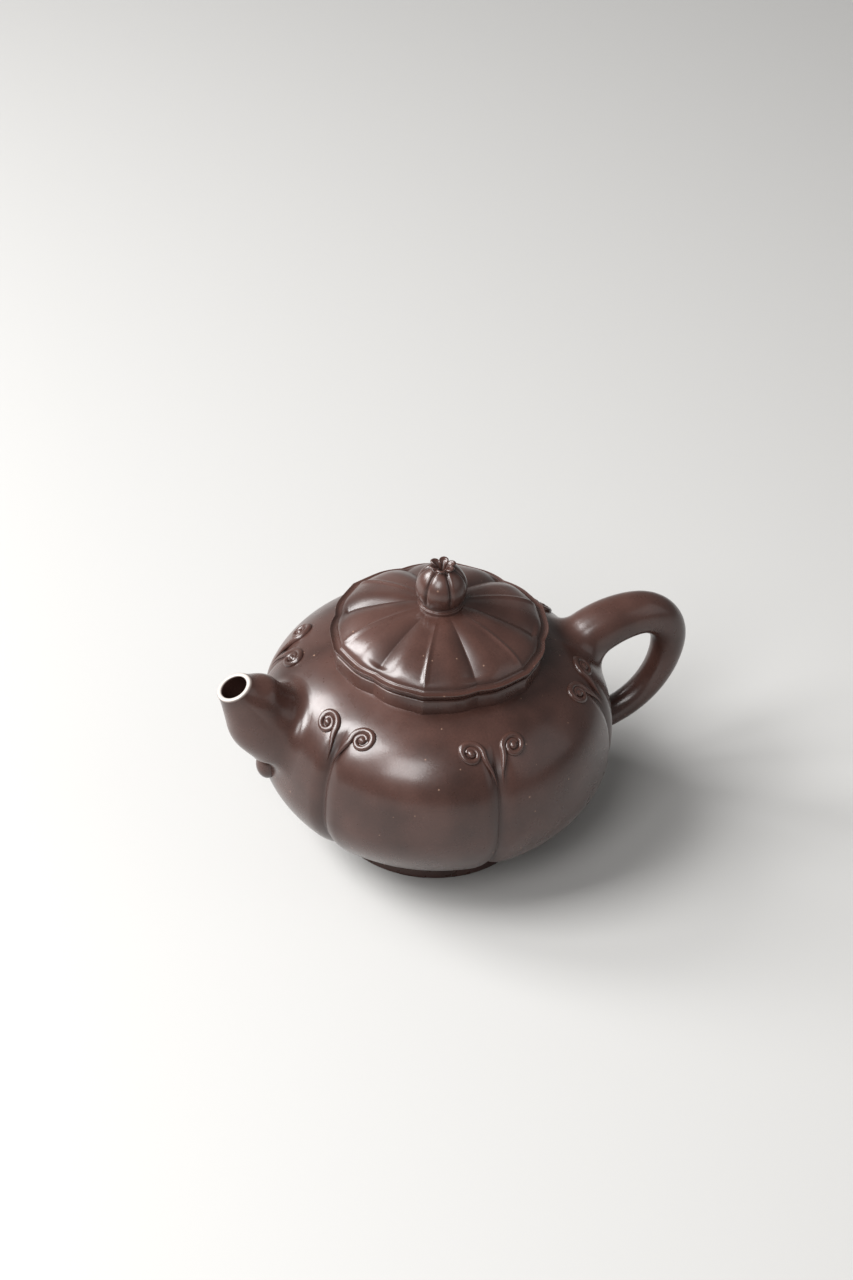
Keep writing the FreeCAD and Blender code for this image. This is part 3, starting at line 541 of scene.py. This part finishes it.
def handle_tube(handle, turn):
    """Rings along three tangent arcs, from the upper root over the crown to the lower root, whose path is
    eased by a running mean. The place along the loop runs from 0 to 1, and the section's radius falls by a
    power of an eased step from the upper root to the lower arm, and swells again at the lower root."""
    root_swell = 0.0010
    ease = 15    # points on either side in the running mean
    low_x = handle.top + handle.crown - handle.sweep
    arcs = (
        # centre, radius, and the angles from upright that the arc starts and ends at
        (handle.top, handle.middle + handle.crown - handle.arm, handle.arm, -50, 0),
        (handle.top, handle.middle, handle.crown, 0, 90),
        (low_x, handle.middle, handle.sweep, 90, 196),
    )
    path = []
    for x, z, radius, start, end in arcs:
        swing = np.radians(np.linspace(start, end, 160))
        path.append(np.stack([x + radius * np.sin(swing), z + radius * np.cos(swing)], -1))
    path = evenly(np.concatenate(path), 400)[0]
    kernel = np.hanning(2 * ease + 1)
    kernel = kernel / kernel.sum()
    before = path[:1] + (path[:1] - path[ease:0:-1])
    after = path[-1:] + (path[-1:] - path[-2:-2 - ease:-1])
    padded = np.concatenate([before, path, after])
    path = np.stack([np.convolve(padded[:, k], kernel, "valid") for k in range(2)], -1)
    heading = headings(path)
    place = np.linspace(0, 1, len(path))

    def tube(at):
        x, z = (np.interp(at, place, path[:, k]) for k in range(2))
        along_x, along_z = (np.interp(at, place, heading[:, k]) for k in range(2))
        falling = handle.thin + (handle.thick - handle.thin) * (1 - smooth_step(-0.1, 0.85, at)) ** 1.3
        radius = falling + root_swell * smooth_step(0.8, 1.0, at)
        rise = radius * np.cos(turn)
        return np.stack([x - along_z * rise, radius * np.sin(turn), z + along_x * rise], -1)
    return tube


def handle_skin(globe, handle, around=72):
    """Both halves of the loop, each run from a place near the middle into the globe, as one closed skin."""
    middle = 0.45
    turn = ring_angles(around)
    tube = handle_tube(handle, turn)
    ones = np.ones(around)
    upper = rooted(globe, tube, ones * middle, ones * 0.0, handle.blend_top, 90)
    lower = rooted(globe, tube, ones * middle, ones * 1.0, handle.blend_low, 90)
    return skin("clay_handle", np.concatenate([upper[::-1], lower[1:]]), caps=True)


# Scrolls

def shoulder_point(globe, start, turn, across, along):
    """Points on the globe's shoulder: along is the way up its outline from a starting direction, and across
    the way round it from an angle. Returns the points and their normals."""
    below, above = 0.6, 0.5    # reach of the table of the outline, in radians
    rise = np.linspace(start - below, start + above, 600)
    radius, height, out, top = globe_point(globe, rise)
    gone = np.concatenate([[0], np.cumsum(np.hypot(np.diff(radius), np.diff(height)))])
    gone -= np.interp(start, rise, gone)
    radius, height, out, top = (np.interp(along, gone, field) for field in (radius, height, out, top))
    angle_now = turn + across / radius
    return ring(radius, height, angle_now), ring(out, top, angle_now)


def scroll_skin(name, globe, scroll, turn, side, steps=150, around=14):
    """A raised line with a rounded section, half sunk in the shoulder. Its path climbs beside the groove on a
    cubic curve, then winds inwards, the radius falling evenly with the angle; the section is thin at the
    stem's tip, full in the curl, and a little thinner at its end."""
    tip_gap, stem_gap = 0.0010, 0.0012    # distance of the stem from the groove
    share = np.linspace(0, 1, 60)[:, None]
    knots = np.array([
        [tip_gap, -scroll.stem],
        [stem_gap, -0.45 * scroll.stem],
        [scroll.offset - scroll.turn, -0.34 * scroll.stem],
        [scroll.offset - scroll.turn, 0],
    ])
    weights = ((1 - share) ** 3, 3 * share * (1 - share) ** 2, 3 * share ** 2 * (1 - share), share ** 3)
    stem = sum(weight * knot for weight, knot in zip(weights, knots))
    wind = np.linspace(0, 2 * math.pi * scroll.turns, 140)
    radius = scroll.turn + (scroll.eye - scroll.turn) * wind / wind[-1]
    curl = np.stack([scroll.offset - radius * np.cos(wind), radius * np.sin(wind)], -1)
    path, gone = evenly(np.concatenate([stem[:-1], curl]), steps)
    heading = headings(path)
    place = gone / gone[-1]
    size = smooth_step(-0.03, 0.36, place) * (1 - 0.25 * smooth_step(0.5, 1, place))
    around_section = ring_angles(around)
    aside = scroll.half_width * size[:, None] * np.cos(around_section)
    lift = scroll.proud * size[:, None] * np.sin(around_section)
    across = side * (path[:, :1] + heading[:, 1:] * aside)
    along = path[:, 1:] - heading[:, :1] * aside
    start = rise_at_height(globe, scroll.height)
    points, normals = shoulder_point(globe, start, turn, across, along)
    rows = points + normals * lift[..., None]
    return skin(name, rows, caps=True)


def scroll_eye(name, globe, scroll, turn, side):
    """A bead set in the eye of a curl: rings of a ball flattened along the shoulder's normal."""
    flat = 0.85
    tilt = np.linspace(-0.45 * math.pi, 0.48 * math.pi, 14)[:, None]
    around = ring_angles(24)[None, :]
    start = rise_at_height(globe, scroll.height)
    across = side * scroll.offset + scroll.bead * np.cos(tilt) * np.cos(around)
    along = scroll.bead * np.cos(tilt) * np.sin(around)
    points, normals = shoulder_point(globe, start, turn, across, along)
    return skin(name, points + normals * (scroll.bead * flat * np.sin(tilt))[..., None], caps=True)


def joined(name, meshes):
    """Several meshes as one."""
    whole = bmesh.new()
    for mesh in meshes:
        whole.from_mesh(mesh)
        bpy.data.meshes.remove(mesh)
    result = bpy.data.meshes.new(name)
    whole.to_mesh(result)
    whole.free()
    return result


# Collar and lid

def ogee(turn, lobes, tip, notch):
    """Radius of a lobed outline: from each notch a quarter sine swells to six tenths of the way out, then a
    rising power draws it to the pointed tip half a lobe on."""
    share = np.abs(from_valley(turn, lobes, math.pi / lobes)) * lobes / math.pi
    near = 0.6 * np.sin(np.clip(share / 0.5, 0, 1) * math.pi / 2)
    far = 0.4 * np.clip((share - 0.5) / 0.5, 0, 1) ** 2.3
    return notch + (tip - notch) * (near + far)


def collar_skin(globe, rim, around=480):
    """A lobed ring: its rounded profile runs from under the shoulder up the outside, over the seat and down
    the mouth, and is stretched at each angle from the mouth to the lobed outline."""
    wide = 0.0316      # radius of the profile before it is stretched
    sunk = 0.0012      # depth of its foot under the shoulder
    turn = ring_angles(around)[None, :]
    outline = ogee(turn, globe.lobes, rim.collar_tip, rim.collar_notch)
    foot = globe_point(globe, np.array([rise_at(globe, rim.collar_notch, 1)]))[1][0] - sunk
    profile = rounded([
        (rim.mouth, foot),
        (wide, foot),
        (wide, SEAT - GAP),
        (rim.mouth, SEAT - GAP),
        (rim.mouth, foot),
    ], radius=0.0006)
    reach, height = profile[:, :1], profile[:, 1:]
    share = (reach - rim.mouth) / (wide - rim.mouth)
    return skin("clay_collar", ring(rim.mouth + share * (outline - rim.mouth), height, turn), loop=True)


def petals(globe, rim, turn, share, radius):
    """Relief of the petals on the dome, and the creases' strength. Each valley is a cusp, each petal has a
    shallow dip with a fine ridge down its middle, and between them the surface swells. All of it fades
    towards the knob, and the relief fades towards the dome's foot too."""
    crease_reach, dip_reach = 0.55, 0.6    # shares of half a petal
    ridge_half = 0.0026
    dip_depth = 0.7 * rim.ridge
    pitch = math.pi / globe.lobes
    valley = np.abs(from_valley(turn, globe.lobes, pitch)) / pitch
    fade = smooth_step(0.12, 0.75, share)
    crease = cusp(valley, crease_reach)
    ridge = np.clip(1 - (1 - valley) * radius / ridge_half, 0, 1) ** 1.6
    dip = cusp(1 - valley, dip_reach)
    relief = -rim.valley * crease - dip_depth * dip + rim.ridge * ridge
    return relief * fade * (1 - smooth_step(0.92, 1.0, share)), crease * fade


def lid_skin(globe, rim, around=480):
    """The lid as one closed skin through the vent: the dome, a superellipse of the share of the way to its
    lobed foot, then the brim with its turned-up rounded edge, cut back beneath it to the seat, and the
    hollow under the dome, an ellipse over a short upright wall."""
    first, close = 0.028, 0.9    # shares of the dome where its rows begin and where they draw together
    cove = SEAT + 0.0034         # top of the hollow's upright wall
    top = LID_TOP - GAP
    floor = SEAT + rim.edge
    sill = floor + 0.0005        # height of the dome's foot
    turn = ring_angles(around)[None, :]
    foot = ogee(turn, globe.lobes, rim.dome_tip, rim.dome_notch)
    slowing = np.sin(np.linspace(0.05, 1, 22) * math.pi / 2)
    share = np.concatenate([np.linspace(first, close, 64), close + (1 - close) * slowing])[:, None]
    round_part = share * (rim.dome_tip + rim.dome_notch) / 2
    radius = round_part + (share * foot - round_part) * smooth_step(0.25, 0.9, share)
    height = sill + (top - sill) * (1 - share ** 2.2) ** 0.62
    relief, crease = petals(globe, rim, turn, share, radius)
    height = np.maximum(height + relief, sill)
    dome = ring(radius, height, turn)

    edge = ogee(turn, globe.lobes, rim.tip, rim.notch) - GAP
    wide = rim.tip - rim.dome_tip
    brim = rounded([
        # way out from the dome's foot, and height
        (0.0, sill),
        (0.12 * wide, floor),
        (0.5 * wide, floor - 0.0002),
        (0.84 * wide, floor + 0.0001),
        (wide, floor + 0.0003),
        (wide, floor - 0.0004),
        (0.45 * wide, SEAT + 0.0004),
        (0.38 * wide, SEAT + GAP),
        (0.0, SEAT + GAP),
    ], radius=0.0004, steps=6)
    out, level = brim[:, :1] / wide, brim[:, 1:]
    skirt = ring(foot + out * (edge - foot), level, turn)

    ceiling = top - rim.skin
    swing = np.linspace(1, 0, 16)[1:, None]
    reach = rim.vent + (rim.hollow - rim.vent) * swing
    bend = cove + (ceiling - cove) * np.sqrt(1 - (reach / rim.hollow) ** 2 * 0.999)
    hollow = np.concatenate([
        ring(rim.hollow, np.array([[SEAT + GAP], [SEAT + 0.002], [cove]]), turn),
        ring(reach, bend, turn),
    ])
    rows = np.concatenate([dome, skirt, hollow])
    field = np.zeros((len(rows), around))
    field[:len(dome)] = crease
    return skin("clay_lid", rows, loop=True, crease=field)


def ring_skin(rim, around=96):
    """Two-step ring under the knob, its edges rounded and its foot sunk in the dome."""
    step, sunk = 0.0006, 0.0006
    low, high = RING_LOW.z, RING_HIGH.z
    wide = (RING_HIGH.x - RING_LOW.x) / 2
    middle = (low + high) / 2
    profile = rounded([
        (rim.vent, low - sunk),
        (wide, low - sunk),
        (wide, middle),
        (wide - step, middle),
        (wide - step, high),
        (rim.vent, high),
        (rim.vent, low - sunk),
    ], radius=0.00032)
    return turned("clay_knob_ring", profile, around)


def knob_skin(globe, rim, knob, around=288):
    """Ball, crown and funnel as one closed skin through the vent. The ball's radius loses a cusp at each
    valley; the crown flares by powers of the way up into a thick rounded point over each lobe, with a bay
    between two points, and the funnel falls from the points to the vent."""
    bay = 0.0006
    turn = ring_angles(around)[None, :]
    foot = RING_HIGH.z
    middle = foot + knob.drop
    away = np.abs(from_valley(turn, globe.lobes, math.pi / globe.lobes))
    petal = np.cos(from_valley(turn, globe.lobes, 0) * globe.lobes / 2).clip(0) ** 0.55
    points = 0.45 + 0.55 * petal    # share of the crown's rise

    start = -math.asin(knob.drop / knob.radius)
    end = math.acos(knob.neck / knob.radius)
    rise = np.linspace(start, end, 60)[:, None]
    radius = knob.radius * np.cos(rise)
    groove = cusp(away * radius, knob.groove_half)
    sunk = knob.groove * groove * smooth_step(start, start + 0.5, rise)
    height = middle + knob.radius * np.sin(rise) - sunk * np.sin(rise)
    ball = ring(radius - sunk * np.cos(rise), height, turn)

    neck = middle + knob.radius * math.sin(end)
    share = np.linspace(0, 1, 16)[1:, None]
    flare = knob.neck + (knob.flare - knob.neck) * share ** 1.6 * petal - bay * share * (1 - petal)
    crown = ring(flare, neck + knob.rise * share ** 0.8 * points, turn)

    rim_radius = knob.neck + (knob.flare - knob.neck) * petal - bay * (1 - petal)
    rim_height = neck + knob.rise * points
    over = np.linspace(0, 1, 7)[1:, None]
    edge = ring(rim_radius - knob.lip * over, rim_height + 0.3 * knob.lip * np.sin(over * math.pi), turn)

    back = np.linspace(0, 1, 18)[1:, None]
    deep = neck + knob.rise - knob.funnel
    inner = ring(
        rim_radius - knob.lip + (rim.vent - rim_radius + knob.lip) * back ** 0.8,
        rim_height + (deep - rim_height) * back ** 1.2,
        turn,
    )
    rows = np.concatenate([ring(rim.vent, np.array([[foot]]), turn), ball, crown, edge, inner])
    field = np.zeros((len(rows), around))
    field[1:1 + len(ball)] = groove
    return skin("clay_knob", rows, loop=True, crease=field)


# Base and small pieces

def base_skin(globe, around=192):
    """The slab under the pot: the outline inside the base joint, and the inner outline over it."""
    pole = -math.pi / 2 + 0.02    # last row before the cap
    turn = ring_angles(around)[None, :]
    edge = rise_at(globe, globe.base_joint, -1)
    rise = np.linspace(edge, pole, 24)[:, None]
    radius, height = globe_point(globe, rise)[:2]
    inner_radius, inner_height = globe_point(globe, rise[::-1], globe.wall)[:2]
    rows = np.concatenate([ring(inner_radius, inner_height, turn), ring(radius, height, turn)])
    return skin("clay_base", rows, caps=True)


def foot_skin(around=192):
    """The foot ring, its rounded profile turned once round. It leans in to a waist and runs up into the
    globe."""
    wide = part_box("foot_ring")[1].x
    inside = wide - 0.0045
    waist = wide - 0.0009
    profile = rounded([
        # radius and height
        (inside, 0.0),
        (wide, 0.0),
        (waist, 0.0036),
        (waist, 0.0090),
        (inside, 0.0040),
        (inside, 0.0),
    ], radius=0.0006)
    return turned("clay_foot", profile, around)


def boss_skin(globe, around=48):
    """Egg-shaped boss half sunk in the belly under the spout: rings of a ball with three half widths, each a
    little less than the solid's."""
    low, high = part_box("spout_bead")
    tall, wide = 0.42 * (high.z - low.z), 0.40 * (high.y - low.y)
    proud = 0.75 * (-low.x - globe.radius)
    middle = (high.z + low.z) / 2
    tilt = np.linspace(-1.5, 1.5, 30)[:, None]
    turn = ring_angles(around)[None, :]
    x = -globe.radius - proud * np.sin(tilt)
    rows = np.stack(np.broadcast_arrays(
        x,
        wide * np.cos(tilt) * np.cos(turn),
        middle + tall * np.cos(tilt) * np.sin(turn),
    ), -1)
    return skin("clay_boss", rows, caps=True)


# Clay

def clay():
    """Burnished clay: cloudy browns by noise, painted shade in the creases, pale grains in a few cells of a
    cell pattern, and a fine tooth in roughness and height. The lip has a painted pale highlight and is
    rougher."""
    known = bpy.data.materials.get("burnished_clay")
    if known:
        return known
    finish = bpy.context.scene.teapot_clay
    material = bpy.data.materials.new("burnished_clay")
    material.use_nodes = True
    nodes, links = material.node_tree.nodes, material.node_tree.links
    shader = nodes["Principled BSDF"]
    shader.inputs["Specular IOR Level"].default_value = 0.5
    shader.inputs["Coat Weight"].default_value = 0.22
    shader.inputs["Coat Roughness"].default_value = 0.16

    def node(kind, **settings):
        made = nodes.new("ShaderNode" + kind)
        for name, setting in settings.items():
            setattr(made, name, setting)
        return made

    def feed(source, socket):
        if hasattr(source, "links"):
            links.new(source, socket)
        else:
            socket.default_value = source

    def noise(scale, detail):
        made = node("TexNoise")
        made.inputs["Scale"].default_value = scale
        made.inputs["Detail"].default_value = detail
        made.inputs["Roughness"].default_value = 0.55
        links.new(place.outputs["Object"], made.inputs["Vector"])
        return made.outputs["Fac"]

    def ramp(source, *stops):
        made = node("ValToRGB")
        bar = made.color_ramp.elements
        for index, (position, tint) in enumerate(stops):
            stop = bar[index] if index < 2 else bar.new(position)
            stop.position = position
            stop.color = (*tint, 1)
        links.new(source, made.inputs["Fac"])
        return made.outputs["Color"]

    def mix(share, first, second, blend="MIX"):
        made = node("Mix", data_type="RGBA", blend_type=blend)
        factor, one, other = (made.inputs[k] for k in (0, 6, 7))    # the sockets of a mix of colours
        feed(share, factor)
        feed(first, one)
        feed(second, other)
        return made.outputs[2]

    def sum_of(operation, first, second, third=0.0):
        made = node("Math", operation=operation)
        for source, socket in zip((first, second, third), made.inputs):
            feed(source, socket)
        return made.outputs[0]

    def marked(name, strength):
        """A mesh attribute times a strength."""
        mark = node("Attribute", attribute_name=name).outputs["Fac"]
        return sum_of("MULTIPLY", mark, strength)

    # Colour: clouds, fine mottle, painted shade in the creases
    place = node("TexCoord")
    dark, middle, light = tuple(finish.dark), tuple(finish.middle), tuple(finish.light)
    cloud = ramp(noise(CLOUDS, 2), (0.25, dark), (0.5, middle), (0.78, light))
    fine = ramp(noise(MOTTLE, 2), (0.3, (0.9, 0.9, 0.9)), (0.7, (1.1, 1.1, 1.1)))
    body = mix(1.0, cloud, fine, "MULTIPLY")
    # Painted shade: the creases are mixed towards the dark clay colour.
    body = mix(marked("crease", 0.75), body, (*dark, 1))

    # Pale grains, then the bare lip
    cells = node("TexVoronoi", feature="F1")
    cells.inputs["Scale"].default_value = GRAINS
    links.new(place.outputs["Object"], cells.inputs["Vector"])
    pick = node("SeparateColor")
    links.new(cells.outputs["Color"], pick.inputs["Color"])
    chosen = sum_of("GREATER_THAN", pick.outputs["Red"], COMMON_CELLS)
    grain_size = sum_of("MULTIPLY_ADD", pick.outputs["Green"], 0.10, 0.09)
    grain = sum_of("LESS_THAN", cells.outputs["Distance"], grain_size)
    grains = sum_of("MULTIPLY", sum_of("MULTIPLY", chosen, grain), 0.8)
    body = mix(grains, body, (*finish.speck, 1))
    # Painted highlight: the spout's lip is mixed towards a pale grey.
    body = mix(marked("lip_highlight", 0.9), body, (*finish.lip_highlight, 1))
    links.new(body, shader.inputs["Base Color"])

    # Burnish, duller in creases and on the lip
    rough = sum_of("MULTIPLY_ADD", noise(BURNISH, 2), 0.10, 0.235)
    rough = sum_of("ADD", rough, marked("crease", 0.12))
    links.new(sum_of("ADD", rough, marked("lip_highlight", 0.25)), shader.inputs["Roughness"])

    # Fine tooth over the faint unevenness of hand work
    tooth = node("Bump")
    tooth.inputs["Strength"].default_value = 0.3
    tooth.inputs["Distance"].default_value = 0.00004
    relief = sum_of("ADD", noise(TOOTH, 1), sum_of("MULTIPLY", noise(HAND_WORK, 1), 3.0))
    links.new(relief, tooth.inputs["Height"])
    links.new(tooth.outputs["Normal"], shader.inputs["Normal"])
    return material


# Operators

class TEAPOT_OT_wall(bpy.types.Operator):
    """Add the lobed globe, its base and its foot ring"""
    bl_idname = "teapot.wall"
    bl_label = "Globe, base and foot"

    def execute(self, context):
        globe = context.scene.teapot_globe
        wall = pierced(globe_wall(globe), spout_plug(context.scene.teapot_spout))
        add_piece(wall, "pot", "body_wall")
        add_piece(base_skin(globe), "pot", "base_disc")
        add_piece(foot_skin(), "pot", "foot_ring")
        return {"FINISHED"}


class TEAPOT_OT_spout(bpy.types.Operator):
    """Add the spout and the boss under it"""
    bl_idname = "teapot.spout"
    bl_label = "Spout"

    def execute(self, context):
        globe, spout = context.scene.teapot_globe, context.scene.teapot_spout
        add_piece(spout_skin(globe, spout), "pot", "spout")
        add_piece(boss_skin(globe), "pot", "spout_bead")
        return {"FINISHED"}


class TEAPOT_OT_handle(bpy.types.Operator):
    """Add the ear-shaped handle"""
    bl_idname = "teapot.handle"
    bl_label = "Handle"

    def execute(self, context):
        globe, handle = context.scene.teapot_globe, context.scene.teapot_handle
        add_piece(handle_skin(globe, handle), "pot", "handle")
        return {"FINISHED"}


class TEAPOT_OT_scrolls(bpy.types.Operator):
    """Add a pair of curls at the top of each groove"""
    bl_idname = "teapot.scrolls"
    bl_label = "Scrolls"

    def execute(self, context):
        globe, scroll = context.scene.teapot_globe, context.scene.teapot_scroll
        for lobe in range(globe.lobes):
            turn = (2 * lobe + 1) * math.pi / globe.lobes
            for word, side in (("left", 1), ("right", -1)):
                name = "clay_scroll_%d_%s" % (lobe + 1, word)
                line = scroll_skin(name + "_line", globe, scroll, turn, side)
                bead = scroll_eye(name + "_eye", globe, scroll, turn, side)
                add_piece(joined(name, [line, bead]), "pot", "scroll_%d_%s" % (lobe + 1, word))
        return {"FINISHED"}


class TEAPOT_OT_rim(bpy.types.Operator):
    """Add the collar and give the pieces inside the mouth their clay"""
    bl_idname = "teapot.rim"
    bl_label = "Collar and mouth"

    def execute(self, context):
        globe, rim = context.scene.teapot_globe, context.scene.teapot_rim
        add_piece(collar_skin(globe, rim), "pot", "neck_collar")
        for node in ("top_disc", "ball_strainer", "lid_flange"):
            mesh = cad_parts[node].data
            mesh.materials.clear()
            mesh.materials.append(clay())
        return {"FINISHED"}


class TEAPOT_OT_lid(bpy.types.Operator):
    """Add the petalled lid, the stepped ring and the knob"""
    bl_idname = "teapot.lid"
    bl_label = "Lid and knob"

    def execute(self, context):
        scene = context.scene
        add_piece(lid_skin(scene.teapot_globe, scene.teapot_rim), "lid", "lid_plate")
        add_piece(ring_skin(scene.teapot_rim), "lid", "knob_ring")
        add_piece(knob_skin(scene.teapot_globe, scene.teapot_rim, scene.teapot_knob), "lid", "knob")
        return {"FINISHED"}


class TEAPOT_OT_stage(bpy.types.Operator):
    """Add the floor, the lights and the camera"""
    bl_idname = "teapot.stage"
    bl_label = "Studio"

    def execute(self, context):
        scene, look = context.scene, context.scene.teapot_stage
        half, bend_start, bend_radius, top = 1.6, 0.9, 0.5, 1.8
        bend = np.linspace(0.1, 1.57, 14)
        level = np.linspace(-half, bend_start, 6)
        along = np.concatenate([level, bend_start + bend_radius * np.sin(bend), [bend_start + bend_radius]])
        height = np.concatenate([np.zeros(6), bend_radius - bend_radius * np.cos(bend), [top]])
        points = [(x, y, z) for y, z in zip(along, height) for x in (-half, half)]
        faces = [(2 * k, 2 * k + 1, 2 * k + 3, 2 * k + 2) for k in range(len(along) - 1)]
        mesh = bpy.data.meshes.new("floor")
        mesh.from_pydata(points, [], faces)
        mesh.polygons.foreach_set("use_smooth", np.ones(len(faces), bool))
        floor = bpy.data.objects.new("floor", mesh)
        scene.collection.objects.link(floor)
        paper = bpy.data.materials.new("studio_paper")
        paper.use_nodes = True
        shader = paper.node_tree.nodes["Principled BSDF"]
        shader.inputs["Base Color"].default_value = (*look.floor, 1)
        shader.inputs["Roughness"].default_value = 0.9
        mesh.materials.append(paper)

        world = bpy.data.worlds.new("studio")
        scene.world = world
        world.use_nodes = True
        sky = world.node_tree.nodes["Background"]
        sky.inputs["Color"].default_value = (1, 0.99, 0.98, 1)
        sky.inputs["Strength"].default_value = 0.18
        for name, spot, size, power in LAMPS:
            lamp = bpy.data.lights.new(name, "AREA")
            lamp.shape = "RECTANGLE"
            lamp.size, lamp.size_y = size
            lamp.energy = power
            bulb = bpy.data.objects.new(name, lamp)
            bulb.location = spot
            bulb.rotation_euler = (LAMP_AIM - Vector(spot)).to_track_quat("-Z", "Y").to_euler()
            scene.collection.objects.link(bulb)

        back = Vector((
            math.sin(look.azimuth) * math.cos(look.elevation),
            -math.cos(look.azimuth) * math.cos(look.elevation),
            math.sin(look.elevation),
        ))
        level = Vector((math.cos(look.azimuth), math.sin(look.azimuth), 0))
        upright = back.cross(level)
        right = level * math.cos(look.roll) + upright * math.sin(look.roll)
        up = upright * math.cos(look.roll) - level * math.sin(look.roll)
        camera = bpy.data.objects.new("camera", bpy.data.cameras.new("camera"))
        camera.data.lens = look.lens
        camera.data.sensor_width = SENSOR_WIDTH
        camera.data.shift_x, camera.data.shift_y = (pixels / PHOTO_HEIGHT for pixels in LENS_SHIFT)
        spot = Vector((0, 0, look.target)) + back * look.distance
        turn = Matrix((right, up, back)).transposed()
        camera.matrix_world = Matrix.Translation(spot) @ turn.to_4x4()
        scene.collection.objects.link(camera)
        scene.camera = camera
        scene.view_settings.view_transform = "Standard"
        return {"FINISHED"}


STEPS = (
    TEAPOT_OT_wall,
    TEAPOT_OT_spout,
    TEAPOT_OT_handle,
    TEAPOT_OT_scrolls,
    TEAPOT_OT_rim,
    TEAPOT_OT_lid,
    TEAPOT_OT_stage,
)
GROUPS = {
    "teapot_globe": GlobeSizes,
    "teapot_rim": RimSizes,
    "teapot_knob": KnobSizes,
    "teapot_spout": SpoutSizes,
    "teapot_handle": HandleSizes,
    "teapot_scroll": ScrollSizes,
    "teapot_clay": ClayFinish,
    "teapot_stage": StageLook,
}


class TEAPOT_PT_pieces(bpy.types.Panel):
    """Pieces of the teapot and their sizes"""
    bl_idname = "TEAPOT_PT_pieces"
    bl_label = "Teapot"
    bl_space_type = "VIEW_3D"
    bl_region_type = "UI"
    bl_category = "Teapot"

    def draw(self, context):
        for step in STEPS:
            self.layout.operator(step.bl_idname)
        for title in GROUPS:
            box = self.layout.box()
            group = getattr(context.scene, title)
            for name in group.__annotations__:
                box.prop(group, name)


def register():
    """Add the sizes, the operators and the panel."""
    for group in GROUPS.values():
        bpy.utils.register_class(group)
    for title, group in GROUPS.items():
        setattr(bpy.types.Scene, title, PointerProperty(type=group))
    for step in STEPS:
        bpy.utils.register_class(step)
    bpy.utils.register_class(TEAPOT_PT_pieces)


def unregister():
    """Take them away again, in the opposite order."""
    bpy.utils.unregister_class(TEAPOT_PT_pieces)
    for step in reversed(STEPS):
        bpy.utils.unregister_class(step)
    for title in GROUPS:
        delattr(bpy.types.Scene, title)
    for group in GROUPS.values():
        bpy.utils.unregister_class(group)


def main():
    """Build every piece and the studio."""
    register()
    for step in STEPS:
        package, name = step.bl_idname.split(".")
        getattr(getattr(bpy.ops, package), name)()


if __name__ == "__main__":
    main()
